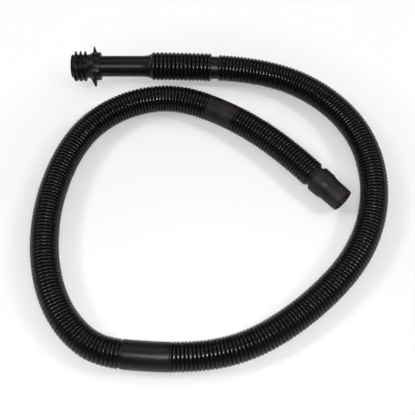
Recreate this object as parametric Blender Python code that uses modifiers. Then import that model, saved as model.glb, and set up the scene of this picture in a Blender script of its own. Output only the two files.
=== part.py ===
"""Vacuum hose: a corrugated hose laid in one loop, with a threaded coupling that
turns on a leader at one end and a push-on cuff that turns on the other.

Metres, +Z up. The hose lies on z = 0 and the middle of its outline is the origin.
The leader runs along X and its bellows is slightly bent, so the neck heads off X by the
route's start angle. Distances along the hose start where the neck ends.
"""
import math

import bmesh
import bpy
import numpy as np
from mathutils import Matrix, Vector

# Clearance between neighbouring pieces
FIT = 0.0003

# Route of the hose on the floor, from the end of the neck to the end of the tail
ROUTE = [
    (0.0109, 0.2139), (0.046, 0.2108), (0.111, 0.195), (0.166, 0.159), (0.206, 0.106),
    (0.223, 0.040), (0.217, -0.026), (0.190, -0.088), (0.147, -0.139), (0.095, -0.1815),
    (0.035, -0.2127), (-0.031, -0.224), (-0.098, -0.222), (-0.142, -0.2135), (-0.1775, -0.187),
    (-0.202, -0.149), (-0.220, -0.085), (-0.221, -0.017), (-0.207, 0.048), (-0.176, 0.108),
    (-0.124, 0.148), (-0.058, 0.161), (0.005, 0.142), (0.063, 0.107), (0.113, 0.0635),
    (0.1405, 0.0345),
]
ROUTE_START_ANGLE = math.radians(-3.2)
ROUTE_END_ANGLE = math.radians(-47.0)
DROP_LENGTH = 0.110
SPAN_STEPS = 120

# Corrugated hose
HOSE_BORE = 0.0158
HOSE_WALL = 0.0012
HOSE_RIB_DEPTH = 0.0020
TAIL_RIBS = 28
RUN_STEP = 0.034

# Lengths along the hose; the tail takes what is left of the route
NECK_LENGTH = 0.011
FIRST_RUN_LENGTH = 0.725
LOWER_CUFF_LENGTH = 0.066
SECOND_RUN_LENGTH = 0.578
MIDDLE_CUFF_LENGTH = 0.045
LIFT_OFFSET = 0.060
LOWER_CUFF_RADIUS = 0.01885
MIDDLE_CUFF_RADIUS = 0.0185

# Spigots at both ends of the leader bellows
NECK_BORE = 0.0150
NECK_WALL = 0.0015
SPIGOT_DEPTH = 0.010
SPIGOT_CHAMFER_LENGTH = 0.0012
SPIGOT_CHAMFER_DEPTH = 0.0006

# Leader: smooth tube with a flange, then coarse bellows
TUBE_BORE = 0.01345
TUBE_WALL = 0.0018
TUBE_LENGTH = 0.073
TUBE_FLARE = 0.009
TUBE_FLARE_END = 0.001
FLANGE_HEIGHT = 0.0026
FLANGE_THICKNESS = 0.0030
LEADER_LENGTH = 0.090
LEADER_WALL = 0.0014
LEADER_RIB_DEPTH = 0.00225
LEADER_RIBS_PER_HALF = 7
LEADER_SHOULDER = 0.0037
LEADER_CREST_SHARE = 0.32

# Threaded coupling: two thread ridges wind side by side, and each lug is a plate with a web
NOSE_LENGTH = 0.0040
NOSE_RADIUS = 0.0169
NOSE_ROUND = 0.0018
NOSE_STEP = 0.0010
THREAD_LENGTH = 0.0215
THREAD_ROOT_RADIUS = 0.0172
THREAD_DEPTH = 0.0050
THREAD_STARTS = 2
THREAD_PITCH = 0.0069
THREAD_TURNS = 1.25
THREAD_START = 0.0043
THREAD_BASE = 0.0050
THREAD_CREST = 0.0018
THREAD_SINK = 0.0006
FLARE_LENGTH = 0.0065
COLLAR_LENGTH = 0.0110
COLLAR_WALL = 0.00245
COLLAR_EASE = 0.0008
LUG_TIP_WIDTH = 0.0040
WEB_THICKNESS = 0.0034
WEB_SETBACK = 0.0008
WEB_INSET = 0.0002
WEB_SINK = 0.0005
FOOT_SINK = 0.0007
FAR_LUG_REACH = 0.0290
FAR_LUG_THICKNESS = 0.0018
FAR_LUG_OFFSET = 0.0003
FAR_WEB_LENGTH = 0.0032
NEAR_LUG_REACH = 0.0300
NEAR_LUG_THICKNESS = 0.0026
NEAR_LUG_OFFSET = 0.0020
NEAR_WEB_LENGTH = 0.0064
RIB_WIDTH = 0.0053
RIB_HEIGHT = 0.0015
RIB_SLOPE = 0.0020
RIB_SETBACK = 0.0011
RIB_EASE = 0.0003
RIB_INSET = 0.0005
RIB_TAPER = 0.0010
RIB_ANGLE = math.radians(113.0)
COUPLING_ROLL = math.radians(27.0)

# Seals and retaining rings inside the coupling and the end cuff
SEAL_THICKNESS = 0.0025
SEAL_STEP = 0.0006
RETAINER_LENGTH = 0.0050
RING_EASE = 0.0004

# End neck and push-on cuff
END_NECK_BORE = 0.0139
END_NECK_WALL = 0.0015
END_NECK_LENGTH = 0.0085
END_NECK_STEP_LENGTH = 0.0012
END_NECK_STEP_HEIGHT = 0.0012
END_NECK_SLOPE = 0.0013
END_FLANGE_HEIGHT = 0.0018
END_FLANGE_THICKNESS = 0.0025
END_COLLAR_WALL = 0.0015
END_COLLAR_LENGTH = 0.0205
END_COLLAR_ROUND = 0.0032
END_COLLAR_SLOPE = 0.0050
SLEEVE_LENGTH = 0.0272
SLEEVE_RADIUS = 0.0171
SLEEVE_MOUTH_RADIUS = 0.0164
SLEEVE_BORE = 0.0141
MOUTH_EASE_LENGTH = 0.0008
MOUTH_EASE_DEPTH = 0.0006

# Facets of the revolved pieces and the swept hose, and the size that pivots are drawn at
ROUND_STEPS = 32
BELLOWS_STEPS = 24
RING_STEPS = 24
SWEEP_BEVEL = 5
MERGE_DISTANCE = 0.000001
PIVOT_SIZE = 0.020

# Sizes that follow from the ones above
HOSE_RADIUS = HOSE_BORE + HOSE_WALL + HOSE_RIB_DEPTH
NECK_RADIUS = NECK_BORE + NECK_WALL
LEADER_BORE = NECK_RADIUS + FIT
LEADER_ROOT = LEADER_BORE + LEADER_WALL
LEADER_RADIUS = LEADER_ROOT + LEADER_RIB_DEPTH
TUBE_RADIUS = TUBE_BORE + TUBE_WALL
FLANGE_RADIUS = TUBE_RADIUS + FLANGE_HEIGHT
CHAMBER_RADIUS = FLANGE_RADIUS + FIT
COLLAR_RADIUS = CHAMBER_RADIUS + COLLAR_WALL
LUG_SEAT_RADIUS = CHAMBER_RADIUS + 0.4 * COLLAR_WALL
LUG_EDGE_RADIUS = COLLAR_RADIUS - 0.1 * COLLAR_WALL
THREAD_RADIUS = THREAD_ROOT_RADIUS + THREAD_DEPTH
FOOT_RADIUS = THREAD_ROOT_RADIUS - FOOT_SINK
COUPLING_LENGTH = NOSE_LENGTH + THREAD_LENGTH + FLARE_LENGTH + COLLAR_LENGTH
CHAMBER_DEPTH = SEAL_THICKNESS + FLANGE_THICKNESS + RETAINER_LENGTH + 4 * FIT
LEADER_AXIS_HEIGHT = max(THREAD_RADIUS, LEADER_RADIUS)
END_NECK_RADIUS = END_NECK_BORE + END_NECK_WALL
END_FLANGE_RADIUS = END_NECK_RADIUS + END_FLANGE_HEIGHT
END_CHAMBER_RADIUS = END_FLANGE_RADIUS + FIT
END_COLLAR_RADIUS = END_CHAMBER_RADIUS + END_COLLAR_WALL
END_CHAMBER_DEPTH = SEAL_THICKNESS + END_FLANGE_THICKNESS + RETAINER_LENGTH + 4 * FIT
HOSE_AXIS_HEIGHT = max(HOSE_RADIUS, END_COLLAR_RADIUS)

FINISHES = {
    "hose_black": ((0.016, 0.016, 0.017), 0.34),
    "leader_black": ((0.015, 0.015, 0.016), 0.30),
    "coupling_black": ((0.020, 0.020, 0.021), 0.42),
    "cuff_charcoal": ((0.040, 0.037, 0.038), 0.62),
    "seal_rubber": ((0.012, 0.012, 0.012), 0.75),
    "retainer_nylon": ((0.030, 0.030, 0.031), 0.50),
}


class Route:
    """Smooth line through the set points, read by distance from its start."""

    def __init__(self, points, start_angle, end_angle):
        spots = np.array(points)
        steps = np.diff(spots, axis=0)
        chords = np.linalg.norm(steps, axis=1)
        slopes = self._slopes(steps, chords, start_angle, end_angle)
        line = [spots[0]]
        for index, chord in enumerate(chords):
            for t in np.linspace(0.0, 1.0, SPAN_STEPS + 1)[1:]:
                line.append(self._hermite(spots[index:index + 2], slopes[index:index + 2], chord, t))
        self.line = np.array(line)
        gaps = np.linalg.norm(np.diff(self.line, axis=0), axis=1)
        self.distances = np.concatenate([[0.0], np.cumsum(gaps)])
        self.length = float(self.distances[-1])

    @staticmethod
    def _slopes(steps, chords, start_angle, end_angle):
        """Directions at the points, with both end directions held."""
        count = len(chords) + 1
        matrix = np.eye(count)
        right = np.zeros((count, 2))
        right[0] = (math.cos(start_angle), math.sin(start_angle))
        right[-1] = (math.cos(end_angle), math.sin(end_angle))
        for i in range(1, count - 1):
            before = 1.0 / chords[i - 1]
            after = 1.0 / chords[i]
            matrix[i, i - 1:i + 2] = (before, 2.0 * (before + after), after)
            right[i] = 3.0 * (steps[i - 1] * before ** 2 + steps[i] * after ** 2)
        return np.linalg.solve(matrix, right)

    @staticmethod
    def _hermite(ends, slopes, chord, t):
        """Point on one span of the line."""
        rest = 1.0 - t
        start = ends[0] * (1.0 + 2.0 * t) + slopes[0] * chord * t
        finish = ends[1] * (1.0 + 2.0 * rest) - slopes[1] * chord * rest
        return start * rest ** 2 + finish * t ** 2

    def place(self, distance):
        """Point on the hose's axis."""
        x = np.interp(distance, self.distances, self.line[:, 0])
        y = np.interp(distance, self.distances, self.line[:, 1])
        t = min(distance / DROP_LENGTH, 1.0)
        ease = t * t * (3.0 - 2.0 * t)
        z = LEADER_AXIS_HEIGHT + (HOSE_AXIS_HEIGHT - LEADER_AXIS_HEIGHT) * ease
        return Vector((x, y, z))

    def direction(self, distance):
        """Unit direction of the axis towards the tail."""
        reach = 0.0005
        low = max(distance - reach, 0.0)
        high = min(distance + reach, self.length)
        return (self.place(high) - self.place(low)).normalized()


def clear_scene():
    """Remove every object of the scene that is open."""
    for item in list(bpy.data.objects):
        bpy.data.objects.remove(item, do_unlink=True)


def new_collection(name):
    """Collection linked to the scene."""
    group = bpy.data.collections.new(name)
    bpy.context.scene.collection.children.link(group)
    return group


def new_material(name, colour, roughness):
    """Principled material with one colour."""
    material = bpy.data.materials.new(name)
    material.use_nodes = True
    shader = material.node_tree.nodes["Principled BSDF"]
    shader.inputs["Base Color"].default_value = (*colour, 1.0)
    shader.inputs["Roughness"].default_value = roughness
    shader.inputs["Metallic"].default_value = 0.0
    return material


def axis_frame(origin, direction, roll=0.0):
    """Frame with local Z along a level direction and local X to its left, turned by roll."""
    along = direction.normalized()
    left = Vector((0.0, 0.0, 1.0)).cross(along).normalized()
    above = along.cross(left)
    turned = left * math.cos(roll) + above * math.sin(roll)
    side = along.cross(turned)
    matrix = Matrix((turned, side, along)).transposed().to_4x4()
    matrix.translation = origin
    return matrix


def add_mesh(name, vertices, edges, faces, group, finish, matrix):
    """Mesh object with one material, placed by a matrix."""
    mesh = bpy.data.meshes.new(name)
    mesh.from_pydata(vertices, edges, faces)
    mesh.update()
    piece = bpy.data.objects.new(name, mesh)
    if finish:
        mesh.materials.append(finish)
    group.objects.link(piece)
    piece.matrix_world = matrix
    return piece


def revolved(name, outer, inner, group, finish, matrix, steps=ROUND_STEPS):
    """Ring solid: the outer side runs down from the top, the inner side back up."""
    profile = [(radius, 0.0, height) for radius, height in list(outer) + list(inner)]
    edges = [(i, (i + 1) % len(profile)) for i in range(len(profile))]
    piece = add_mesh(name, profile, edges, [], group, finish, matrix)
    screw = piece.modifiers.new("turn", "SCREW")
    screw.axis = "Z"
    screw.angle = 2.0 * math.pi
    screw.steps = steps
    screw.render_steps = steps
    screw.use_merge_vertices = True
    screw.merge_threshold = MERGE_DISTANCE
    return piece


def square_end(shell, place, direction):
    """Bring the open rim nearest a place on the axis square to the axis."""
    for vertex in shell.verts:
        if vertex.is_boundary and (vertex.co - place).length < 2.0 * HOSE_RADIUS:
            vertex.co -= direction * (vertex.co - place).dot(direction)


def swept(name, route, start, end, radius_at, wall, stations, group, finish):
    """Hollow tube along the route: a bevelled curve made a mesh, walled inwards."""
    curve = bpy.data.curves.new(name + "_line", "CURVE")
    curve.dimensions = "3D"
    curve.twist_mode = "Z_UP"
    curve.bevel_depth = 1.0
    curve.bevel_resolution = SWEEP_BEVEL
    spline = curve.splines.new("POLY")
    spline.points.add(len(stations) - 1)
    for point, distance in zip(spline.points, stations):
        point.co = (*route.place(distance), 1.0)
        point.radius = radius_at(distance)
    line = bpy.data.objects.new(name + "_line", curve)
    group.objects.link(line)
    bpy.context.view_layer.update()
    mesh = bpy.data.meshes.new_from_object(line)
    mesh.name = name
    bpy.data.objects.remove(line, do_unlink=True)

    shell = bmesh.new()
    shell.from_mesh(mesh)
    bmesh.ops.remove_doubles(shell, verts=shell.verts, dist=MERGE_DISTANCE)
    for distance in (stations[0], stations[-1]):
        square_end(shell, route.place(distance), route.direction(distance))
    origin = route.place(0.5 * (start + end))
    bmesh.ops.translate(shell, verts=shell.verts, vec=-origin)
    shell.to_mesh(mesh)
    shell.free()
    mesh.materials.clear()
    mesh.materials.append(finish)
    piece = bpy.data.objects.new(name, mesh)
    group.objects.link(piece)
    piece.location = origin
    solid = piece.modifiers.new("wall", "SOLIDIFY")
    solid.thickness = wall
    solid.offset = -1.0
    solid.use_even_offset = True
    solid.use_rim = True
    return piece


def plain_stations(start, end):
    """Even distances along a plain length, with one near each end to keep its wall square."""
    low = start + 0.5 * FIT
    high = end - 0.5 * FIT
    near = 0.002
    count = max(2, math.ceil((high - low) / RUN_STEP))
    inside = [low + (high - low) * i / count for i in range(1, count)]
    return [low, low + near] + inside + [high - near, high]


def plain_length(name, route, start, end, radius, group, finish):
    """Plain hollow length of the hose with the hose's own bore."""
    stations = plain_stations(start, end)
    return swept(name, route, start, end, lambda distance: radius, radius - HOSE_BORE,
                 stations, group, finish)


def ribbed_length(name, route, start, end, ribs, group, finish):
    """Corrugated length: crest and root by turns, roots at both ends."""
    low = start + 0.5 * FIT
    high = end - 0.5 * FIT
    half = (high - low) / (2 * ribs)
    stations = [low + half * i for i in range(2 * ribs + 1)]
    root = HOSE_RADIUS - HOSE_RIB_DEPTH

    def radius_at(distance):
        return HOSE_RADIUS if round((distance - low) / half) % 2 else root

    return swept(name, route, start, end, radius_at, HOSE_WALL, stations, group, finish)


def join_to(piece, tool, operation):
    """Exact Boolean of a helper into a piece."""
    cut = piece.modifiers.new(tool.name, "BOOLEAN")
    cut.object = tool
    cut.operation = operation
    cut.solver = "EXACT"
    tool.hide_render = True
    tool.display_type = "WIRE"


def prism(name, outline, thickness, group, matrix):
    """Flat plate: an outline in local XZ, drawn evenly both ways along Y."""
    count = len(outline)
    half = 0.5 * thickness
    vertices = [(x, -half, z) for x, z in outline] + [(x, half, z) for x, z in outline]
    faces = [list(range(count)), list(range(2 * count - 1, count - 1, -1))]
    for i in range(count):
        j = (i + 1) % count
        faces.append([j, i, count + i, count + j])
    piece = add_mesh(name, vertices, [], faces, group, None, matrix)
    shell = bmesh.new()
    shell.from_mesh(piece.data)
    bmesh.ops.recalc_face_normals(shell, faces=shell.faces)
    shell.to_mesh(piece.data)
    shell.free()
    return piece


def build_thread(group, matrix):
    """One coarse right-hand thread ridge, rooted a little inside the body."""
    foot = THREAD_ROOT_RADIUS - THREAD_SINK
    half_base = 0.5 * THREAD_BASE
    half_crest = 0.5 * THREAD_CREST
    profile = [
        (foot, 0.0, half_base), (THREAD_RADIUS, 0.0, half_crest),
        (THREAD_RADIUS, 0.0, -half_crest), (foot, 0.0, -half_base),
    ]
    start = matrix @ Matrix.Translation((0.0, 0.0, THREAD_START))
    ridge = add_mesh("thread_ridge", profile, [(0, 1), (1, 2), (2, 3), (3, 0)], [(0, 1, 2, 3)],
                     group, None, start)
    shell = bmesh.new()
    shell.from_mesh(ridge.data)
    turns = math.ceil(THREAD_TURNS * ROUND_STEPS)
    rise = THREAD_STARTS * THREAD_PITCH * THREAD_TURNS / turns
    face = list(shell.faces)
    bmesh.ops.spin(shell, geom=face + list(shell.edges) + list(shell.verts), cent=(0, 0, 0),
                   axis=(0, 0, 1), dvec=(0, 0, rise), angle=THREAD_TURNS * 2.0 * math.pi, steps=turns)
    bmesh.ops.recalc_face_normals(shell, faces=shell.faces)
    shell.to_mesh(ridge.data)
    shell.free()
    return ridge


def lug_outline(reach):
    """Lug seen along the coupling: sides that leave the collar at a tangent and a blunt tip."""
    spread = math.acos(LUG_EDGE_RADIUS / reach)
    out = LUG_EDGE_RADIUS * math.cos(spread)
    across = LUG_EDGE_RADIUS * math.sin(spread)
    tip = 0.5 * LUG_TIP_WIDTH
    outline = [(out, -across), (reach, -tip), (reach, tip), (out, across)]
    for step in range(6):
        angle = spread * (1.0 - 0.4 * step)
        outline.append((LUG_SEAT_RADIUS * math.cos(angle), LUG_SEAT_RADIUS * math.sin(angle)))
    return outline


def far_web_outline(low):
    """Web behind the far lug, sloping down to the collar."""
    tip = FAR_LUG_REACH - WEB_SETBACK
    high = low + FAR_LUG_THICKNESS
    start = low + 0.3 * FAR_LUG_THICKNESS
    return [
        (LUG_SEAT_RADIUS, start), (tip, start), (tip, high - WEB_INSET),
        (COLLAR_RADIUS - WEB_SINK, high + FAR_WEB_LENGTH), (LUG_SEAT_RADIUS, high + FAR_WEB_LENGTH),
    ]


def near_web_outline(low):
    """Web in front of the near lug, drawn in towards the flare."""
    tip = NEAR_LUG_REACH - WEB_SETBACK
    middle = 0.5 * (THREAD_ROOT_RADIUS + tip)
    start = low + 0.5 * NEAR_LUG_THICKNESS
    return [
        (LUG_SEAT_RADIUS, start), (tip, start), (tip, low + WEB_INSET),
        (middle, low - 0.52 * NEAR_WEB_LENGTH), (FOOT_RADIUS, low - NEAR_WEB_LENGTH),
        (LUG_SEAT_RADIUS, low - 0.55 * NEAR_WEB_LENGTH),
    ]


def rib_outline(low, shoulder):
    """Rib from the flare over the collar, kept clear of the collar's hollow."""
    crest = COLLAR_RADIUS + RIB_HEIGHT
    end = COUPLING_LENGTH - RIB_SETBACK
    inside = shoulder - RIB_INSET
    return [
        (FOOT_RADIUS, low), (COLLAR_RADIUS, low), (crest, low + RIB_SLOPE), (crest, end - RIB_EASE),
        (COLLAR_RADIUS + 0.4 * RIB_HEIGHT, end), (LUG_SEAT_RADIUS, end),
        (LUG_SEAT_RADIUS, inside), (FOOT_RADIUS, inside - RIB_TAPER),
    ]


def build_coupling(group, tools, finish, matrix):
    """Nose, thread, flared shoulder, lugs, webs, ribs and hollow collar."""
    thread_end = NOSE_LENGTH + THREAD_LENGTH
    flare_end = thread_end + FLARE_LENGTH
    shoulder = COUPLING_LENGTH - CHAMBER_DEPTH
    outer = [
        (COLLAR_RADIUS - COLLAR_EASE, COUPLING_LENGTH), (COLLAR_RADIUS, COUPLING_LENGTH - COLLAR_EASE),
        (COLLAR_RADIUS, flare_end), (THREAD_ROOT_RADIUS, thread_end),
        (THREAD_ROOT_RADIUS, NOSE_LENGTH), (NOSE_RADIUS, NOSE_LENGTH - NOSE_STEP),
        (NOSE_RADIUS, NOSE_ROUND), (NOSE_RADIUS - 0.3 * NOSE_ROUND, 0.3 * NOSE_ROUND),
        (NOSE_RADIUS - NOSE_ROUND, 0.0),
    ]
    inner = [
        (TUBE_BORE, 0.0), (TUBE_BORE, shoulder),
        (CHAMBER_RADIUS, shoulder), (CHAMBER_RADIUS, COUPLING_LENGTH),
    ]
    body = revolved("coupling_body", outer, inner, group, finish, matrix)

    first_turn = math.pi / ROUND_STEPS - math.pi * (THREAD_TURNS - 1.0)
    for start in range(THREAD_STARTS):
        turn = first_turn + 2.0 * math.pi * start / THREAD_STARTS
        place = matrix @ Matrix.Rotation(turn, 4, "Z")
        join_to(body, build_thread(tools, place), "UNION")

    far_low = flare_end + FAR_LUG_OFFSET
    near_low = flare_end + NEAR_LUG_OFFSET
    lugs = (
        ("far_lug", 0.0, far_low, FAR_LUG_THICKNESS, FAR_LUG_REACH, far_web_outline(far_low)),
        ("near_lug", math.pi, near_low, NEAR_LUG_THICKNESS, NEAR_LUG_REACH, near_web_outline(near_low)),
    )
    for name, turn, low, thickness, reach, web in lugs:
        side = matrix @ Matrix.Rotation(turn, 4, "Z")
        place = side @ Matrix.Translation((0.0, 0.0, low + 0.5 * thickness))
        flat = place @ Matrix.Rotation(math.radians(90.0), 4, "X")
        join_to(body, prism(name, lug_outline(reach), thickness, tools, flat), "UNION")
        join_to(body, prism(name + "_web", web, WEB_THICKNESS, tools, side), "UNION")

    rib = rib_outline(thread_end + 0.3 * FLARE_LENGTH, shoulder)
    for name, turn in (("near_rib", RIB_ANGLE), ("under_rib", RIB_ANGLE + math.pi)):
        place = matrix @ Matrix.Rotation(turn, 4, "Z")
        join_to(body, prism(name, rib, RIB_WIDTH, tools, place), "UNION")
    return body


def ring(name, radius, bore, low, high, group, finish, matrix):
    """Plain ring with eased outer edges."""
    inset = radius - RING_EASE
    outer = [(inset, high), (radius, high - RING_EASE), (radius, low + RING_EASE), (inset, low)]
    inner = [(bore, low), (bore, high)]
    return revolved(name, outer, inner, group, finish, matrix, RING_STEPS)


def build_coupling_rings(group, finishes, matrix):
    """Seal and retaining ring in the coupling's collar."""
    low = COUPLING_LENGTH - CHAMBER_DEPTH + FIT
    seal = ring("coupling_seal", FLANGE_RADIUS, TUBE_BORE + SEAL_STEP, low, low + SEAL_THICKNESS,
                group, finishes["seal_rubber"], matrix)
    high = COUPLING_LENGTH - FIT
    retainer = ring("coupling_retainer", FLANGE_RADIUS, TUBE_RADIUS + FIT, high - RETAINER_LENGTH,
                    high, group, finishes["retainer_nylon"], matrix)
    return [seal, retainer]


def build_leader_tube(group, finish, matrix):
    """Smooth tube with a flange in the coupling and a flared spigot in the bellows."""
    flange_low = COUPLING_LENGTH - RETAINER_LENGTH - 2 * FIT - FLANGE_THICKNESS
    flange_high = flange_low + FLANGE_THICKNESS
    end = COUPLING_LENGTH + TUBE_LENGTH
    tip = end + SPIGOT_DEPTH
    outer = [
        (NECK_RADIUS - SPIGOT_CHAMFER_DEPTH, tip), (NECK_RADIUS, tip - SPIGOT_CHAMFER_LENGTH),
        (NECK_RADIUS, end - TUBE_FLARE_END), (TUBE_RADIUS, end - TUBE_FLARE), (TUBE_RADIUS, flange_high),
        (FLANGE_RADIUS, flange_high), (FLANGE_RADIUS, flange_low),
    ]
    inner = [(TUBE_BORE, flange_low), (TUBE_BORE, end - TUBE_FLARE), (NECK_BORE, end), (NECK_BORE, tip)]
    return revolved("leader_tube", outer, inner, group, finish, matrix)


def bellows_profile(low, high, shoulder_first):
    """Outer side of half a bellows, from its low end up, with a shoulder at one end."""
    ends = (low + LEADER_SHOULDER, high) if shoulder_first else (low, high - LEADER_SHOULDER)
    pitch = (ends[1] - ends[0]) / LEADER_RIBS_PER_HALF
    slope = 0.5 * (1.0 - LEADER_CREST_SHARE) * pitch
    side = []
    if shoulder_first:
        side += [(LEADER_ROOT - 0.4 * LEADER_WALL, low), (LEADER_ROOT, low + 0.3 * LEADER_SHOULDER)]
    for rib in range(LEADER_RIBS_PER_HALF):
        base = ends[0] + rib * pitch
        side += [
            (LEADER_ROOT, base), (LEADER_RADIUS, base + slope),
            (LEADER_RADIUS, base + pitch - slope),
        ]
    side.append((LEADER_ROOT, ends[1]))
    if not shoulder_first:
        side += [
            (LEADER_RADIUS, ends[1] + 0.3 * LEADER_SHOULDER),
            (LEADER_RADIUS, ends[1] + 0.55 * LEADER_SHOULDER),
            (LEADER_ROOT - 0.4 * LEADER_WALL, high),
        ]
    return side


def build_leader_bellows(group, finish, leader, neck):
    """Both halves of the leader bellows, cut back where they bend so that they stay apart."""
    start = COUPLING_LENGTH + TUBE_LENGTH
    middle = start + 0.5 * LEADER_LENGTH
    end = start + LEADER_LENGTH
    cut = 0.5 * FIT + LEADER_RADIUS * math.tan(0.5 * abs(ROUTE_START_ANGLE))
    halves = []
    for name, low, high, first, matrix in (
        ("leader_bellows_front", start, middle - cut, True, leader),
        ("leader_bellows_rear", middle + cut, end, False, neck),
    ):
        side = bellows_profile(low, high, first)
        inner = [(LEADER_BORE, low), (LEADER_BORE, high)]
        halves.append(revolved(name, side[::-1], inner, group, finish, matrix, BELLOWS_STEPS))
    return halves


def build_hose_neck(group, finish, matrix):
    """Smooth start of the hose, with its spigot inside the bellows."""
    start = COUPLING_LENGTH + TUBE_LENGTH + LEADER_LENGTH
    low = start - SPIGOT_DEPTH
    high = start + NECK_LENGTH - 0.5 * FIT
    outer = [
        (NECK_RADIUS, high), (NECK_RADIUS, low + SPIGOT_CHAMFER_LENGTH),
        (NECK_RADIUS - SPIGOT_CHAMFER_DEPTH, low),
    ]
    inner = [(NECK_BORE, low), (NECK_BORE, high)]
    return revolved("hose_neck", outer, inner, group, finish, matrix)


def build_end_neck(group, finish, matrix):
    """Smooth end of the hose with the flange that the cuff turns on."""
    low = 0.5 * FIT
    flange_low = END_NECK_LENGTH + RETAINER_LENGTH + 2 * FIT
    flange_high = flange_low + END_FLANGE_THICKNESS
    step_radius = END_NECK_RADIUS + END_NECK_STEP_HEIGHT
    outer = [
        (END_FLANGE_RADIUS, flange_high), (END_FLANGE_RADIUS, flange_low),
        (END_NECK_RADIUS, flange_low), (END_NECK_RADIUS, END_NECK_STEP_LENGTH + END_NECK_SLOPE),
        (step_radius, END_NECK_STEP_LENGTH), (step_radius, low),
    ]
    inner = [(END_NECK_BORE, low), (END_NECK_BORE, flange_high)]
    return revolved("end_neck", outer, inner, group, finish, matrix)


def build_end_cuff(group, finishes, matrix):
    """Collar and push-on sleeve in one, with its seal and retaining ring."""
    low = END_NECK_LENGTH
    step = low + END_COLLAR_LENGTH
    mouth = step + SLEEVE_LENGTH
    shoulder = low + END_CHAMBER_DEPTH
    outer = [
        (SLEEVE_MOUTH_RADIUS - MOUTH_EASE_DEPTH, mouth), (SLEEVE_MOUTH_RADIUS, mouth - MOUTH_EASE_LENGTH),
        (SLEEVE_RADIUS, step), (END_COLLAR_RADIUS, step - END_COLLAR_SLOPE),
        (END_COLLAR_RADIUS, low + END_COLLAR_ROUND),
        (END_COLLAR_RADIUS - 0.3 * END_COLLAR_WALL, low + 0.3 * END_COLLAR_ROUND),
        (END_COLLAR_RADIUS - 0.6 * END_COLLAR_WALL, low),
    ]
    inner = [
        (END_CHAMBER_RADIUS, low), (END_CHAMBER_RADIUS, shoulder),
        (SLEEVE_BORE, shoulder), (SLEEVE_BORE, mouth),
    ]
    cuff = revolved("end_cuff", outer, inner, group, finishes["cuff_charcoal"], matrix)
    retainer = ring("cuff_retainer", END_FLANGE_RADIUS, END_NECK_RADIUS + FIT, low + FIT,
                    low + FIT + RETAINER_LENGTH, group, finishes["retainer_nylon"], matrix)
    seal = ring("cuff_seal", END_FLANGE_RADIUS, END_NECK_BORE + SEAL_STEP,
                shoulder - FIT - SEAL_THICKNESS, shoulder - FIT, group, finishes["seal_rubber"], matrix)
    return [cuff, retainer, seal]


def add_pivot(name, place, group, above=None):
    """Empty on a joint's axis, under the empty of the joint before it."""
    pivot = bpy.data.objects.new(name, None)
    pivot.empty_display_size = PIVOT_SIZE
    group.objects.link(pivot)
    pivot.location = place
    if above:
        hang([pivot], above)
    return pivot


def hang(pieces, pivot):
    """Parent pieces to a pivot without moving them."""
    bpy.context.view_layer.update()
    for piece in pieces:
        piece.parent = pivot
        piece.matrix_parent_inverse = pivot.matrix_world.inverted()


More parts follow.
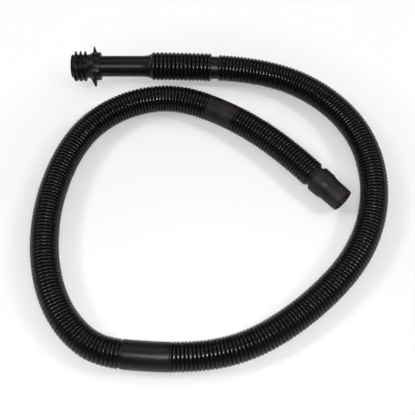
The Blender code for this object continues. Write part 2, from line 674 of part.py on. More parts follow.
def main():
    """Build the hose."""
    clear_scene()
    group = new_collection("vacuum_hose")
    tools = new_collection("vacuum_hose_helpers")
    finishes = {name: new_material(name, *look) for name, look in FINISHES.items()}
    route = Route(ROUTE, ROUTE_START_ANGLE, ROUTE_END_ANGLE)

    axis = Vector((1.0, 0.0, 0.0))
    heading = Vector((math.cos(ROUTE_START_ANGLE), math.sin(ROUTE_START_ANGLE), 0.0))
    bend = route.place(0.0) - heading * (0.5 * LEADER_LENGTH + NECK_LENGTH)
    reach = COUPLING_LENGTH + TUBE_LENGTH + 0.5 * LEADER_LENGTH
    nose = bend - axis * reach
    leader = axis_frame(nose, axis)
    neck_line = axis_frame(bend - heading * reach, heading)
    coupling = axis_frame(nose, axis, COUPLING_ROLL)
    tail_end = axis_frame(route.place(route.length), route.direction(route.length))

    lift_one = LIFT_OFFSET
    run_end = FIRST_RUN_LENGTH
    lower_end = run_end + LOWER_CUFF_LENGTH
    second_end = lower_end + SECOND_RUN_LENGTH
    lift_two = second_end - LIFT_OFFSET
    middle_end = second_end + MIDDLE_CUFF_LENGTH
    tail_middle = 0.5 * (middle_end + route.length)

    hose = finishes["hose_black"]
    plain_length("first_run", route, lift_one, run_end, HOSE_RADIUS, group, hose)
    plain_length("lower_cuff", route, run_end, lower_end, LOWER_CUFF_RADIUS, group, hose)
    plain_length("second_run", route, lower_end, lift_two, HOSE_RADIUS, group, hose)

    first_start = plain_length("first_run_start", route, 0.0, lift_one, HOSE_RADIUS, group, hose)
    neck = build_hose_neck(group, hose, neck_line)
    front, rear = build_leader_bellows(group, finishes["leader_black"], leader, neck_line)
    tube = build_leader_tube(group, finishes["leader_black"], leader)
    body = build_coupling(group, tools, finishes["coupling_black"], coupling)
    rings = build_coupling_rings(group, finishes, coupling)

    second_last = plain_length("second_run_end", route, lift_two, second_end, HOSE_RADIUS, group, hose)
    middle = plain_length("middle_cuff", route, second_end, middle_end, MIDDLE_CUFF_RADIUS, group,
                          finishes["cuff_charcoal"])
    tail_ribs = TAIL_RIBS // 2
    tail_front = ribbed_length("tail_bellows_front", route, middle_end, tail_middle, tail_ribs, group, hose)
    tail_rear = ribbed_length("tail_bellows_rear", route, tail_middle, route.length, tail_ribs, group, hose)
    end_neck = build_end_neck(group, hose, tail_end)
    cuff = build_end_cuff(group, finishes, tail_end)

    lift_pivot = add_pivot("leader_lift_pivot", route.place(lift_one), group)
    bend_pivot = add_pivot("leader_bend_pivot", bend, group, lift_pivot)
    coupling_pivot = add_pivot("coupling_swivel_pivot", nose + axis * COUPLING_LENGTH, group, bend_pivot)
    hang([first_start, neck, rear], lift_pivot)
    hang([front, tube], bend_pivot)
    hang([body] + rings, coupling_pivot)

    tail_lift_pivot = add_pivot("tail_lift_pivot", route.place(lift_two), group)
    tail_bend_pivot = add_pivot("tail_bend_pivot", route.place(tail_middle), group, tail_lift_pivot)
    cuff_pivot = add_pivot("cuff_swivel_pivot", tail_end.translation, group, tail_bend_pivot)
    hang([second_last, middle, tail_front], tail_lift_pivot)
    hang([tail_rear, end_neck], tail_bend_pivot)
    hang(cuff, cuff_pivot)


main()
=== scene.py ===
"""Looks of the vacuum hose: ribbed lengths, smooth cuffs, threaded coupling and end cuff.

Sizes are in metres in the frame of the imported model: +Z is up and the hose lies on the floor at
z = 0. The coupling and its leader lie along +X, the leader's bellows bends slightly, and distances
along the hose run from the neck, where the leader joins it, to the end neck, where the cuff turns.
"""
import logging
import math
from collections.abc import Sequence
from dataclasses import dataclass
from enum import Enum

import bmesh
import bpy
import numpy as np
from mathutils import Euler, Matrix, Vector


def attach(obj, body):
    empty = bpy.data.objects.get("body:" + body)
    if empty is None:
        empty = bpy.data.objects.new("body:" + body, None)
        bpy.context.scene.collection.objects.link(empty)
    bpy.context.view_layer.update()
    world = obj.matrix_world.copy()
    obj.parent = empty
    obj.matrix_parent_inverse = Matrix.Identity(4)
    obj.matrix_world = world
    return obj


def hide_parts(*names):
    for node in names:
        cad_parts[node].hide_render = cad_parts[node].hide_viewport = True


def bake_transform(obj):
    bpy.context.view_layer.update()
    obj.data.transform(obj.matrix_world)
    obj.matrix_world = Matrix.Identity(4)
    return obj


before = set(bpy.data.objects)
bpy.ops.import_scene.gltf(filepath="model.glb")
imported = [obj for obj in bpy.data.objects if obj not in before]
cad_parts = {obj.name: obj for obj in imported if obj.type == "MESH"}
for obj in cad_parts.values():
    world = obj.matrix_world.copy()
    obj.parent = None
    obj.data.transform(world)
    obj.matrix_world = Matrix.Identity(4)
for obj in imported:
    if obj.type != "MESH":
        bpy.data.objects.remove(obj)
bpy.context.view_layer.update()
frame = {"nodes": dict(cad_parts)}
LOG = logging.getLogger("vacuum_hose")

Colour = tuple[float, float, float]
Point = tuple[float, float, float]
Number = float | int | bool | bpy.types.NodeSocket

# Places on the floor that the hose's axis passes over, and its headings at both ends
ROUTE = (
    (0.0109, 0.2139), (0.046, 0.2108), (0.111, 0.195), (0.166, 0.159), (0.206, 0.106),
    (0.223, 0.040), (0.217, -0.026), (0.190, -0.088), (0.147, -0.139), (0.095, -0.1815),
    (0.035, -0.2127), (-0.031, -0.224), (-0.098, -0.222), (-0.142, -0.2135), (-0.1775, -0.187),
    (-0.202, -0.149), (-0.220, -0.085), (-0.221, -0.017), (-0.207, 0.048), (-0.176, 0.108),
    (-0.124, 0.148), (-0.058, 0.161), (0.005, 0.142), (0.063, 0.107), (0.113, 0.0635),
    (0.1405, 0.0345),
)
ROUTE_START_ANGLE = math.radians(-3.2)
ROUTE_END_ANGLE = math.radians(-47.0)

# Heights of the axis, and the length over which it comes down from the leader's to the hose's
LEADER_AXIS_HEIGHT = 0.0222
HOSE_AXIS_HEIGHT = 0.019
DROP_LENGTH = 0.110

# Clearance between pieces that fit in each other, and the distance within which points are merged
FIT = 0.0003
WELD = 0.000002

# Longest step of a wall along the route
LINE_STEP = 0.002

# Share of a side that an eased corner may take, and the easing of the plain rings
EASE_LIMIT = 0.48
RING_EASE = 0.0004

FULL_SPAN = (0.0, 1.0)
QUARTER_TURN = math.radians(90.0)


class Slot(Enum):
    """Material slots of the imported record."""

    HOSE = "hose"
    LEADER = "leader"
    COUPLING = "coupling"
    CUFF = "cuff"
    SEAL = "seal"
    RETAINER = "retainer"


class Body(Enum):
    """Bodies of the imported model."""

    LOOP = "hose_loop"
    NECK = "neck"
    LEADER = "leader"
    COUPLING = "coupling"
    MIDDLE = "middle"
    TAIL = "tail"
    CUFF = "cuff"


class NodeBench:
    """Lays the nodes of one tree from left to right and joins their sockets."""

    spacing: float = 200.0

    # Places of the colour sockets on a mix node, whose other kinds of socket have the same names
    mix_inputs: tuple[int, int] = (6, 7)
    mix_output: int = 2

    def __init__(self, tree: bpy.types.NodeTree) -> None:
        """Take the tree to work on."""
        self.tree = tree
        self.laid = 0

    def add(self, kind: str, **settings: object) -> bpy.types.Node:
        """Lay one node.

        Args:
            kind: Blender's name for the kind of node.
            settings: Properties to set on the node.

        Returns:
            The new node.
        """
        node = self.tree.nodes.new(kind)
        node.location = (self.spacing * self.laid, 0.0)
        self.laid += 1
        for key, value in settings.items():
            setattr(node, key, value)
        return node

    def feed(self, node: bpy.types.Node, entry: str | int, value: Number | Sequence[float]) -> None:
        """Join a socket to an input, or set the input to a constant.

        Args:
            node: Node that takes the value.
            entry: Name or place of its input.
            value: Socket, number or vector.
        """
        if isinstance(value, bpy.types.NodeSocket):
            self.tree.links.new(value, node.inputs[entry])
        else:
            node.inputs[entry].default_value = value

    def sum(self, operation: str, first: Number, second: Number = 0.0) -> bpy.types.NodeSocket:
        """Work out one sum.

        Args:
            operation: Blender's name for the sum.
            first: First number or socket.
            second: Second number or socket, where the sum takes one.

        Returns:
            The socket with the result.
        """
        node = self.add("ShaderNodeMath", operation=operation)
        self.feed(node, 0, first)
        self.feed(node, 1, second)
        return node.outputs[0]

    def between(self, value: Number, low: Number, high: Number) -> bpy.types.NodeSocket:
        """Hold a value between two others.

        Args:
            value: Number or socket to hold.
            low: Least value.
            high: Greatest value.

        Returns:
            The socket with the held value.
        """
        return self.sum("MINIMUM", self.sum("MAXIMUM", value, low), high)

    def spread(self, value: Number, source: tuple[float, float],
               target: tuple[float, float]) -> bpy.types.NodeSocket:
        """Map a value from one span to another and hold it there.

        Args:
            value: Number or socket to map.
            source: Span that the value comes from.
            target: Span that it is mapped to.

        Returns:
            The socket with the mapped value.
        """
        node = self.add("ShaderNodeMapRange", clamp=True)
        for entry, number in enumerate((value, *source, *target)):
            self.feed(node, entry, number)
        return node.outputs[0]

    def blend(self, factor: Number, first: bpy.types.NodeSocket | Colour,
              second: bpy.types.NodeSocket | Colour) -> bpy.types.NodeSocket:
        """Mix two colours.

        Args:
            factor: Share of the second colour.
            first: Colour or socket at a share of nothing.
            second: Colour or socket at a full share.

        Returns:
            The socket with the mixed colour.
        """
        node = self.add("ShaderNodeMix", data_type="RGBA")
        self.feed(node, 0, factor)
        for entry, colour in zip(self.mix_inputs, (first, second)):
            self.feed(node, entry, colour if isinstance(colour, bpy.types.NodeSocket) else (*colour, 1.0))
        return node.outputs[self.mix_output]

    def noise(self, place: bpy.types.NodeSocket, scale: float, detail: float) -> bpy.types.NodeSocket:
        """Lay a noise pattern.

        Args:
            place: Socket with the coordinates.
            scale: Patches in a metre.
            detail: Octaves of finer patches.

        Returns:
            The socket with the pattern's value.
        """
        node = self.add("ShaderNodeTexNoise")
        self.feed(node, "Vector", place)
        self.feed(node, "Scale", scale)
        self.feed(node, "Detail", detail)
        return node.outputs["Fac"]


@dataclass(frozen=True)
class PlasticFinish:
    """Moulded plastic: mottled colour, uneven gloss, moulding grain and fine dust.

    On a ribbed piece the crests are rubbed smoother, and the grooves are darkened towards the deep colour as
    painted shade.
    """

    name: str
    slot: Slot
    deep: Colour
    pale: Colour
    dust: Colour
    dust_share: float
    gloss: float
    dull: float
    reflection: float
    mottle_scale: float
    grain_scale: float
    grain_depth: float
    ribbed: bool = False
    mottle_detail: float = 4.0
    mottle_span: tuple[float, float] = (0.32, 0.68)
    gloss_span: tuple[float, float] = (0.3, 0.7)
    grain_detail: float = 3.0
    speck_share: float = 0.45
    speck_detail: float = 2.0
    speck_span: tuple[float, float] = (0.58, 0.74)
    speck_dulling: float = 0.5
    groove_span: tuple[float, float] = (0.0, 0.65)
    # Share of the deep colour painted into the grooves as shade
    groove_painted_shade: float = 0.6
    groove_dulling: float = 0.16

    def material(self) -> bpy.types.Material:
        """Material of this finish, made at its first use.

        Returns:
            The material.
        """
        ready = bpy.data.materials.get(self.name)
        if ready:
            return ready
        material = bpy.data.materials.new(self.name)
        material.use_nodes = True
        bench = NodeBench(material.node_tree)
        shader = material.node_tree.nodes["Principled BSDF"]
        place = bench.add("ShaderNodeTexCoord").outputs["Object"]
        mottle = bench.noise(place, self.mottle_scale, self.mottle_detail)
        grain = bench.noise(place, self.grain_scale, self.grain_detail)
        specks = bench.noise(place, self.speck_share * self.grain_scale, self.speck_detail)
        specks = bench.spread(specks, self.speck_span, (0.0, self.dust_share))
        colour = bench.blend(bench.spread(mottle, self.mottle_span, FULL_SPAN), self.deep, self.pale)
        colour = bench.blend(specks, colour, self.dust)
        rough = bench.spread(mottle, self.gloss_span, (self.gloss, self.dull))
        if self.ribbed:
            crest = bench.add("ShaderNodeAttribute", attribute_name="rib").outputs["Fac"]
            groove = bench.spread(crest, self.groove_span, (1.0, 0.0))
            # Painted shade: the grooves are darkened towards the deep colour by the stored rib height
            colour = bench.blend(bench.sum("MULTIPLY", groove, self.groove_painted_shade), colour, self.deep)
            rough = bench.sum("ADD", rough, bench.sum("MULTIPLY", groove, self.groove_dulling))
        rough = bench.sum("ADD", rough, bench.sum("MULTIPLY", specks, self.speck_dulling))
        bump = bench.add("ShaderNodeBump")
        bench.feed(bump, "Strength", 1.0)
        bench.feed(bump, "Distance", self.grain_depth)
        bench.feed(bump, "Height", grain)
        bench.feed(shader, "Base Color", colour)
        bench.feed(shader, "Roughness", rough)
        bench.feed(shader, "Normal", bump.outputs["Normal"])
        bench.feed(shader, "Specular IOR Level", self.reflection)
        return material


RIBBED_BLACK = PlasticFinish(
    name="ribbed_hose_black", slot=Slot.HOSE,
    deep=(0.0024, 0.0024, 0.0024), pale=(0.0042, 0.0042, 0.0042),
    dust=(0.022, 0.021, 0.020), dust_share=0.2, gloss=0.20, dull=0.26, reflection=0.26,
    mottle_scale=55.0, grain_scale=900.0, grain_depth=0.00001, ribbed=True,
)
SMOOTH_BLACK = PlasticFinish(
    name="smooth_hose_black", slot=Slot.HOSE,
    deep=(0.0040, 0.0033, 0.0033), pale=(0.0078, 0.0064, 0.0064),
    dust=(0.025, 0.023, 0.022), dust_share=0.2, gloss=0.31, dull=0.37, reflection=0.22,
    mottle_scale=45.0, grain_scale=800.0, grain_depth=0.00002,
)
LEADER_BLACK = PlasticFinish(
    name="leader_black", slot=Slot.LEADER,
    deep=(0.0032, 0.0032, 0.0032), pale=(0.0055, 0.0055, 0.0055),
    dust=(0.022, 0.021, 0.020), dust_share=0.2, gloss=0.31, dull=0.37, reflection=0.22,
    mottle_scale=50.0, grain_scale=850.0, grain_depth=0.00002,
)
LEADER_RIBBED = PlasticFinish(
    name="leader_ribbed_black", slot=Slot.LEADER,
    deep=(0.0022, 0.0022, 0.0022), pale=(0.0040, 0.0040, 0.0040),
    dust=(0.022, 0.021, 0.020), dust_share=0.2, gloss=0.20, dull=0.26, reflection=0.26,
    mottle_scale=50.0, grain_scale=850.0, grain_depth=0.00001, ribbed=True,
)
COUPLING_SATIN = PlasticFinish(
    name="coupling_satin_black", slot=Slot.COUPLING,
    deep=(0.0024, 0.0020, 0.0020), pale=(0.0058, 0.0047, 0.0044),
    dust=(0.030, 0.027, 0.025), dust_share=0.3, gloss=0.34, dull=0.42, reflection=0.22,
    mottle_scale=70.0, grain_scale=1100.0, grain_depth=0.00003,
)
CUFF_CHARCOAL = PlasticFinish(
    name="cuff_charcoal", slot=Slot.CUFF,
    deep=(0.0042, 0.0038, 0.0040), pale=(0.0210, 0.0154, 0.0158),
    dust=(0.05, 0.045, 0.043), dust_share=0.25, gloss=0.38, dull=0.52, reflection=0.22,
    mottle_scale=48.0, grain_scale=1200.0, grain_depth=0.00004,
)
SEAL_RUBBER = PlasticFinish(
    name="seal_rubber", slot=Slot.SEAL,
    deep=(0.006, 0.006, 0.006), pale=(0.011, 0.011, 0.011),
    dust=(0.04, 0.04, 0.04), dust_share=0.3, gloss=0.62, dull=0.74, reflection=0.2,
    mottle_scale=120.0, grain_scale=1600.0, grain_depth=0.00005,
)
RETAINER_NYLON = PlasticFinish(
    name="retainer_nylon", slot=Slot.RETAINER,
    deep=(0.008, 0.008, 0.008), pale=(0.014, 0.014, 0.014),
    dust=(0.04, 0.04, 0.04), dust_share=0.2, gloss=0.40, dull=0.50, reflection=0.2,
    mottle_scale=120.0, grain_scale=1400.0, grain_depth=0.00003,
)


class Route:
    """Smooth line of the hose's axis, read by distance from the neck."""

    span_steps: int = 120
    probe: float = 0.0005

    def __init__(self, points: Sequence[tuple[float, float]], start_angle: float, end_angle: float) -> None:
        """Lay the line through the points.

        Args:
            points: Places on the floor that the axis passes over.
            start_angle: Heading of the axis at its start.
            end_angle: Heading of the axis at its end.
        """
        spots = np.array(points)
        steps = np.diff(spots, axis=0)
        chords = np.linalg.norm(steps, axis=1)
        slopes = self._slopes(steps, chords, (start_angle, end_angle))
        line = [spots[0]]
        for index, chord in enumerate(chords):
            for t in np.linspace(0.0, 1.0, self.span_steps + 1)[1:]:
                line.append(self._hermite(spots[index:index + 2], slopes[index:index + 2], chord, t))
        self.line = np.array(line)
        gaps = np.linalg.norm(np.diff(self.line, axis=0), axis=1)
        self.distances = np.concatenate([[0.0], np.cumsum(gaps)])
        self.length = float(self.distances[-1])

    @staticmethod
    def _slopes(steps: np.ndarray, chords: np.ndarray, headings: tuple[float, float]) -> np.ndarray:
        """Directions at the points, with both end directions held.

        Args:
            steps: Vectors from each point to the next.
            chords: Their lengths.
            headings: Headings at the first and the last point.

        Returns:
            One direction for each point.
        """
        count = len(chords) + 1
        matrix = np.eye(count)
        right = np.zeros((count, 2))
        for end, heading in zip((0, -1), headings):
            right[end] = (math.cos(heading), math.sin(heading))
        for i in range(1, count - 1):
            before = 1.0 / chords[i - 1]
            after = 1.0 / chords[i]
            matrix[i, i - 1:i + 2] = (before, 2.0 * (before + after), after)
            right[i] = 3.0 * (steps[i - 1] * before ** 2 + steps[i] * after ** 2)
        return np.linalg.solve(matrix, right)

    @staticmethod
    def _hermite(ends: np.ndarray, slopes: np.ndarray, chord: float, t: float) -> np.ndarray:
        """Point on one span of the line.

        Args:
            ends: Both points of the span.
            slopes: Directions at them.
            chord: Straight length of the span.
            t: Share of the span passed.

        Returns:
            The point.
        """
        rest = 1.0 - t
        start = ends[0] * (1.0 + 2.0 * t) + slopes[0] * chord * t
        finish = ends[1] * (1.0 + 2.0 * rest) - slopes[1] * chord * rest
        return start * rest ** 2 + finish * t ** 2

    def place(self, distance: float) -> Vector:
        """Point on the hose's axis.

        Args:
            distance: Way along the hose from the neck.

        Returns:
            The point.
        """
        x = np.interp(distance, self.distances, self.line[:, 0])
        y = np.interp(distance, self.distances, self.line[:, 1])
        t = min(distance / DROP_LENGTH, 1.0)
        ease = t * t * (3.0 - 2.0 * t)
        z = LEADER_AXIS_HEIGHT + (HOSE_AXIS_HEIGHT - LEADER_AXIS_HEIGHT) * ease
        return Vector((x, y, z))

    def direction(self, distance: float) -> Vector:
        """Unit direction of the axis towards the tail.

        Args:
            distance: Way along the hose from the neck.

        Returns:
            The direction.
        """
        low = max(distance - self.probe, 0.0)
        high = min(distance + self.probe, self.length)
        return (self.place(high) - self.place(low)).normalized()

    def points(self, start: float, end: float, step: float) -> list[Vector]:
        """Even points on the axis.

        Args:
            start: First distance.
            end: Last distance.
            step: Rough spacing.

        Returns:
            The points, ends included.
        """
        count = max(2, math.ceil((end - start) / step))
        return [self.place(start + (end - start) * i / count) for i in range(count + 1)]


def axis_frame(origin: Vector, direction: Vector, roll: float = 0.0) -> Matrix:
    """Frame with local Z along a level direction and local X to its left.

    Args:
        origin: Origin of the frame.
        direction: Direction of local Z.
        roll: Turn of local X about local Z.

    Returns:
        The frame's matrix.
    """
    along = direction.normalized()
    left = Vector((0.0, 0.0, 1.0)).cross(along).normalized()
    above = along.cross(left)
    rolled = left * math.cos(roll) + above * math.sin(roll)
    side = along.cross(rolled)
    matrix = Matrix((rolled, side, along)).transposed().to_4x4()
    matrix.translation = origin
    return matrix


def facing(place: Point, target: Point) -> Euler:
    """Turn of a lamp or a camera that looks from one place at another."""
    return (Vector(target) - Vector(place)).to_track_quat("-Z", "Y").to_euler()


def new_piece(name: str, mesh: bpy.types.Mesh) -> bpy.types.Object:
    """Object at the origin that shows a mesh.

    Args:
        name: Name of the piece.
        mesh: Its mesh, in the model's frame.

    Returns:
        The object.
    """
    mesh.name = name
    piece = bpy.data.objects.new(name, mesh)
    bpy.context.scene.collection.objects.link(piece)
    return piece


def settled(source: bpy.types.Object, name: str) -> bpy.types.Object:
    """Plain mesh piece from an object with modifiers, which is removed.

    Args:
        source: Object whose modifiers make the shape.
        name: Name of the piece.

    Returns:
        The piece.
    """
    graph = bpy.context.evaluated_depsgraph_get()
    mesh = bpy.data.meshes.new_from_object(source.evaluated_get(graph), preserve_all_data_layers=True,
                                           depsgraph=graph)
    source.modifiers.clear()
    bpy.data.objects.remove(source, do_unlink=True)
    return new_piece(name, mesh)


def joined(name: str, body: bpy.types.Object, parts: Sequence[bpy.types.Object]) -> bpy.types.Object:
    """One piece from a body and the parts moulded on it, which are all removed.

    Args:
        name: Name of the piece.
        body: Body that carries the parts.
        parts: Parts in the order in which they are added.

    Returns:
        The piece.
    """
    for part in parts:
        union = body.modifiers.new(part.name, "BOOLEAN")
        union.operation = "UNION"
        union.solver = "EXACT"
        union.object = part
    piece = settled(body, name)
    for part in parts:
        bpy.data.objects.remove(part, do_unlink=True)
    return piece


def smooth(piece: bpy.types.Object, crease: float = math.radians(38.0)) -> None:
    """Shade a piece smooth apart from its sharp edges.

    Args:
        piece: Piece to shade.
        crease: Angle between faces from which an edge stays sharp.
    """
    piece.data.shade_smooth()
    piece.data.set_sharp_from_angle(angle=crease)


def turn_out(mesh: bpy.types.Mesh, weld: float = 0.0) -> None:
    """Point the faces of a closed mesh outwards.

    Args:
        mesh: Mesh to mend.
        weld: Distance within which doubled points are merged first.
    """
    shell = bmesh.new()
    shell.from_mesh(mesh)
    if weld > 0.0:
        bmesh.ops.remove_doubles(shell, verts=shell.verts, dist=weld)
    bmesh.ops.recalc_face_normals(shell, faces=shell.faces)
    shell.to_mesh(mesh)
    shell.free()


@dataclass(frozen=True)
class Ring:
    """One round section of a wall: its frame and its radius."""

    frame: Matrix
    radius: float


def walled(name: str, rings: Sequence[Ring], sides: int) -> bpy.types.Object:
    """Closed wall through a loop of rings, out along the outside and back along the bore.

    Args:
        name: Name of the piece.
        rings: Rings in order round the wall's section.
        sides: Facets round the axis.

    Returns:
        The piece.
    """
    angles = [2.0 * math.pi * side / sides for side in range(sides)]
    vertices = []
    for ring in rings:
        for angle in angles:
            spot = Vector((ring.radius * math.cos(angle), ring.radius * math.sin(angle), 0.0))
            vertices.append(ring.frame @ spot)
    faces = []
    for here in range(len(rings)):
        there = (here + 1) % len(rings)
        for side in range(sides):
            after = (side + 1) % sides
            faces.append((here * sides + side, here * sides + after, there * sides + after,
                          there * sides + side))
    mesh = bpy.data.meshes.new(name)
    mesh.from_pydata(vertices, [], faces)
    turn_out(mesh)
    piece = new_piece(name, mesh)
    smooth(piece)
    return piece


def bent(start: Vector, corner: Vector, finish: Vector, steps: int) -> list[Vector]:
    """Points on a smooth curve that sets out towards a corner and ends beyond it.

    Args:
        start: First point.
        corner: Point that the curve heads for at its start and comes from at its end.
        finish: Last point.
        steps: Spans between the points.

    Returns:
        The points, ends included.
    """
    points = []
    for step in range(steps + 1):
        t = step / steps
        points.append(start * (1.0 - t) ** 2 + corner * (2.0 * t * (1.0 - t)) + finish * t ** 2)
    return points


def eased(corners: Sequence[Point], steps: int = 5) -> list[tuple[float, float]]:
    """Outline with its corners rounded.

    Args:
        corners: Radius, height and easing of each corner, in order round a closed outline.
        steps: Facets on one rounded corner.

    Returns:
        Radius and height of each point of the outline.
    """
    outline = []
    count = len(corners)
    for index, (radius, height, ease) in enumerate(corners):
        here = Vector((radius, height))
        if ease <= 0.0:
            outline.append((radius, height))
            continue
        before = Vector(corners[index - 1][:2]) - here
        after = Vector(corners[(index + 1) % count][:2]) - here
        reach = min(ease, EASE_LIMIT * before.length, EASE_LIMIT * after.length)
        start = here + before.normalized() * reach
        finish = here + after.normalized() * reach
        outline += [(spot.x, spot.y) for spot in bent(start, here, finish, steps)]
    return outline


def turned(name: str, corners: Sequence[Point], axis: Matrix, sides: int = 96) -> bpy.types.Object:
    """Round piece turned from an outline with eased corners.

    Args:
        name: Name of the piece.
        corners: Radius, height and easing of each corner.
        axis: Frame whose local Z is the piece's axis.
        sides: Facets round the axis.

    Returns:
        The piece.
    """
    rings = [Ring(axis @ Matrix.Translation((0.0, 0.0, height)), radius) for radius, height in eased(corners)]
    return walled(name, rings, sides)


def plain_ring(name: str, axis: Matrix, radii: tuple[float, float],
               ends: tuple[float, float]) -> bpy.types.Object:
    """Plain ring with eased edges.

    Args:
        name: Name of the piece.
        axis: Frame whose local Z is the ring's axis.
        radii: Radius of its hole and of its outside.
        ends: Heights of its first and its last face.

    Returns:
        The piece.
    """
    bore, outside = radii
    low, high = ends
    corners = [(outside, high, RING_EASE), (outside, low, RING_EASE),
               (bore, low, RING_EASE), (bore, high, RING_EASE)]
    return turned(name, corners, axis)


def sleeve(name: str, route: Route, side: Sequence[Point], bore: float, sides: int = 96) -> bpy.types.Object:
    """Smooth sleeve along the route.

    Args:
        name: Name of the piece.
        route: Line that the sleeve follows.
        side: Radius, distance and easing of each corner of its outer side, from its start.
        bore: Radius of its inside.
        sides: Facets round the axis.

    Returns:
        The piece.
    """
    low = side[0][1]
    high = side[-1][1]
    corners = [(bore, low, 0.0), *side, (bore, high, 0.0)]
    outline = []
    points = eased(corners)
    for here, there in zip(points, points[1:] + points[:1]):
        count = max(1, math.ceil(abs(there[1] - here[1]) / LINE_STEP))
        for step in range(count):
            t = step / count
            outline.append((here[0] + (there[0] - here[0]) * t, here[1] + (there[1] - here[1]) * t))
    rings = [Ring(axis_frame(route.place(way), route.direction(way)), radius) for radius, way in outline]
    return walled(name, rings, sides)


def dressed(piece: bpy.types.Object, finish: PlasticFinish, *nodes: str) -> bpy.types.Object:
    """Give a piece its finish and hide the solids that it stands for.

    Args:
        piece: Piece to dress.
        finish: Finish of its whole surface.
        nodes: Names of the solids.

    Returns:
        The piece.
    """
    piece.data.materials.clear()
    piece.data.materials.append(finish.material())
    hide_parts(*nodes)
    LOG.info("%s: %d faces, %s, for %s", piece.name, len(piece.data.polygons), finish.name, ", ".join(nodes))
    return piece


class NodeTool:
    """Geometry Nodes tree with named inputs, set by the sockets' identifiers."""

    def __init__(self, name: str, inputs: dict[str, str]) -> None:
        """Start the tree.

        Args:
            name: Name of the tree.
            inputs: Kind of socket for each input's name.
        """
        self.tree = bpy.data.node_groups.new(name, "GeometryNodeTree")
        self.tree.interface.new_socket("Geometry", in_out="OUTPUT", socket_type="NodeSocketGeometry")
        self.sockets = {}
        for title, kind in {"Geometry": "NodeSocketGeometry", **inputs}.items():
            socket = self.tree.interface.new_socket(title, in_out="INPUT", socket_type=kind)
            self.sockets[title] = socket.identifier
        self.bench = NodeBench(self.tree)
        self.entry = self.bench.add("NodeGroupInput").outputs

    def close(self, geometry: bpy.types.NodeSocket) -> None:
        """Realize the shape, set its finish and end the tree.

        Args:
            geometry: Socket with the whole shape.
        """
        real = self.bench.add("GeometryNodeRealizeInstances")
        self.bench.feed(real, "Geometry", geometry)
        finish = self.bench.add("GeometryNodeSetMaterial")
        self.bench.feed(finish, "Geometry", real.outputs[0])
        self.bench.feed(finish, "Material", self.entry["Finish"])
        self.bench.feed(self.bench.add("NodeGroupOutput"), 0, finish.outputs[0])

    def run(self, name: str, mesh: bpy.types.Mesh, values: dict[str, object]) -> bpy.types.Object:
        """Make one piece.

        Args:
            name: Name of the piece.
            mesh: Mesh that the tree starts from.
            values: Value of each named input.

        Returns:
            The piece, as a plain mesh.
        """
        source = new_piece(name + "_line", mesh)
        work = source.modifiers.new(self.tree.name, "NODES")
        work.node_group = self.tree
        for title, value in values.items():
            work[self.sockets[title]] = value
        return settled(source, name)


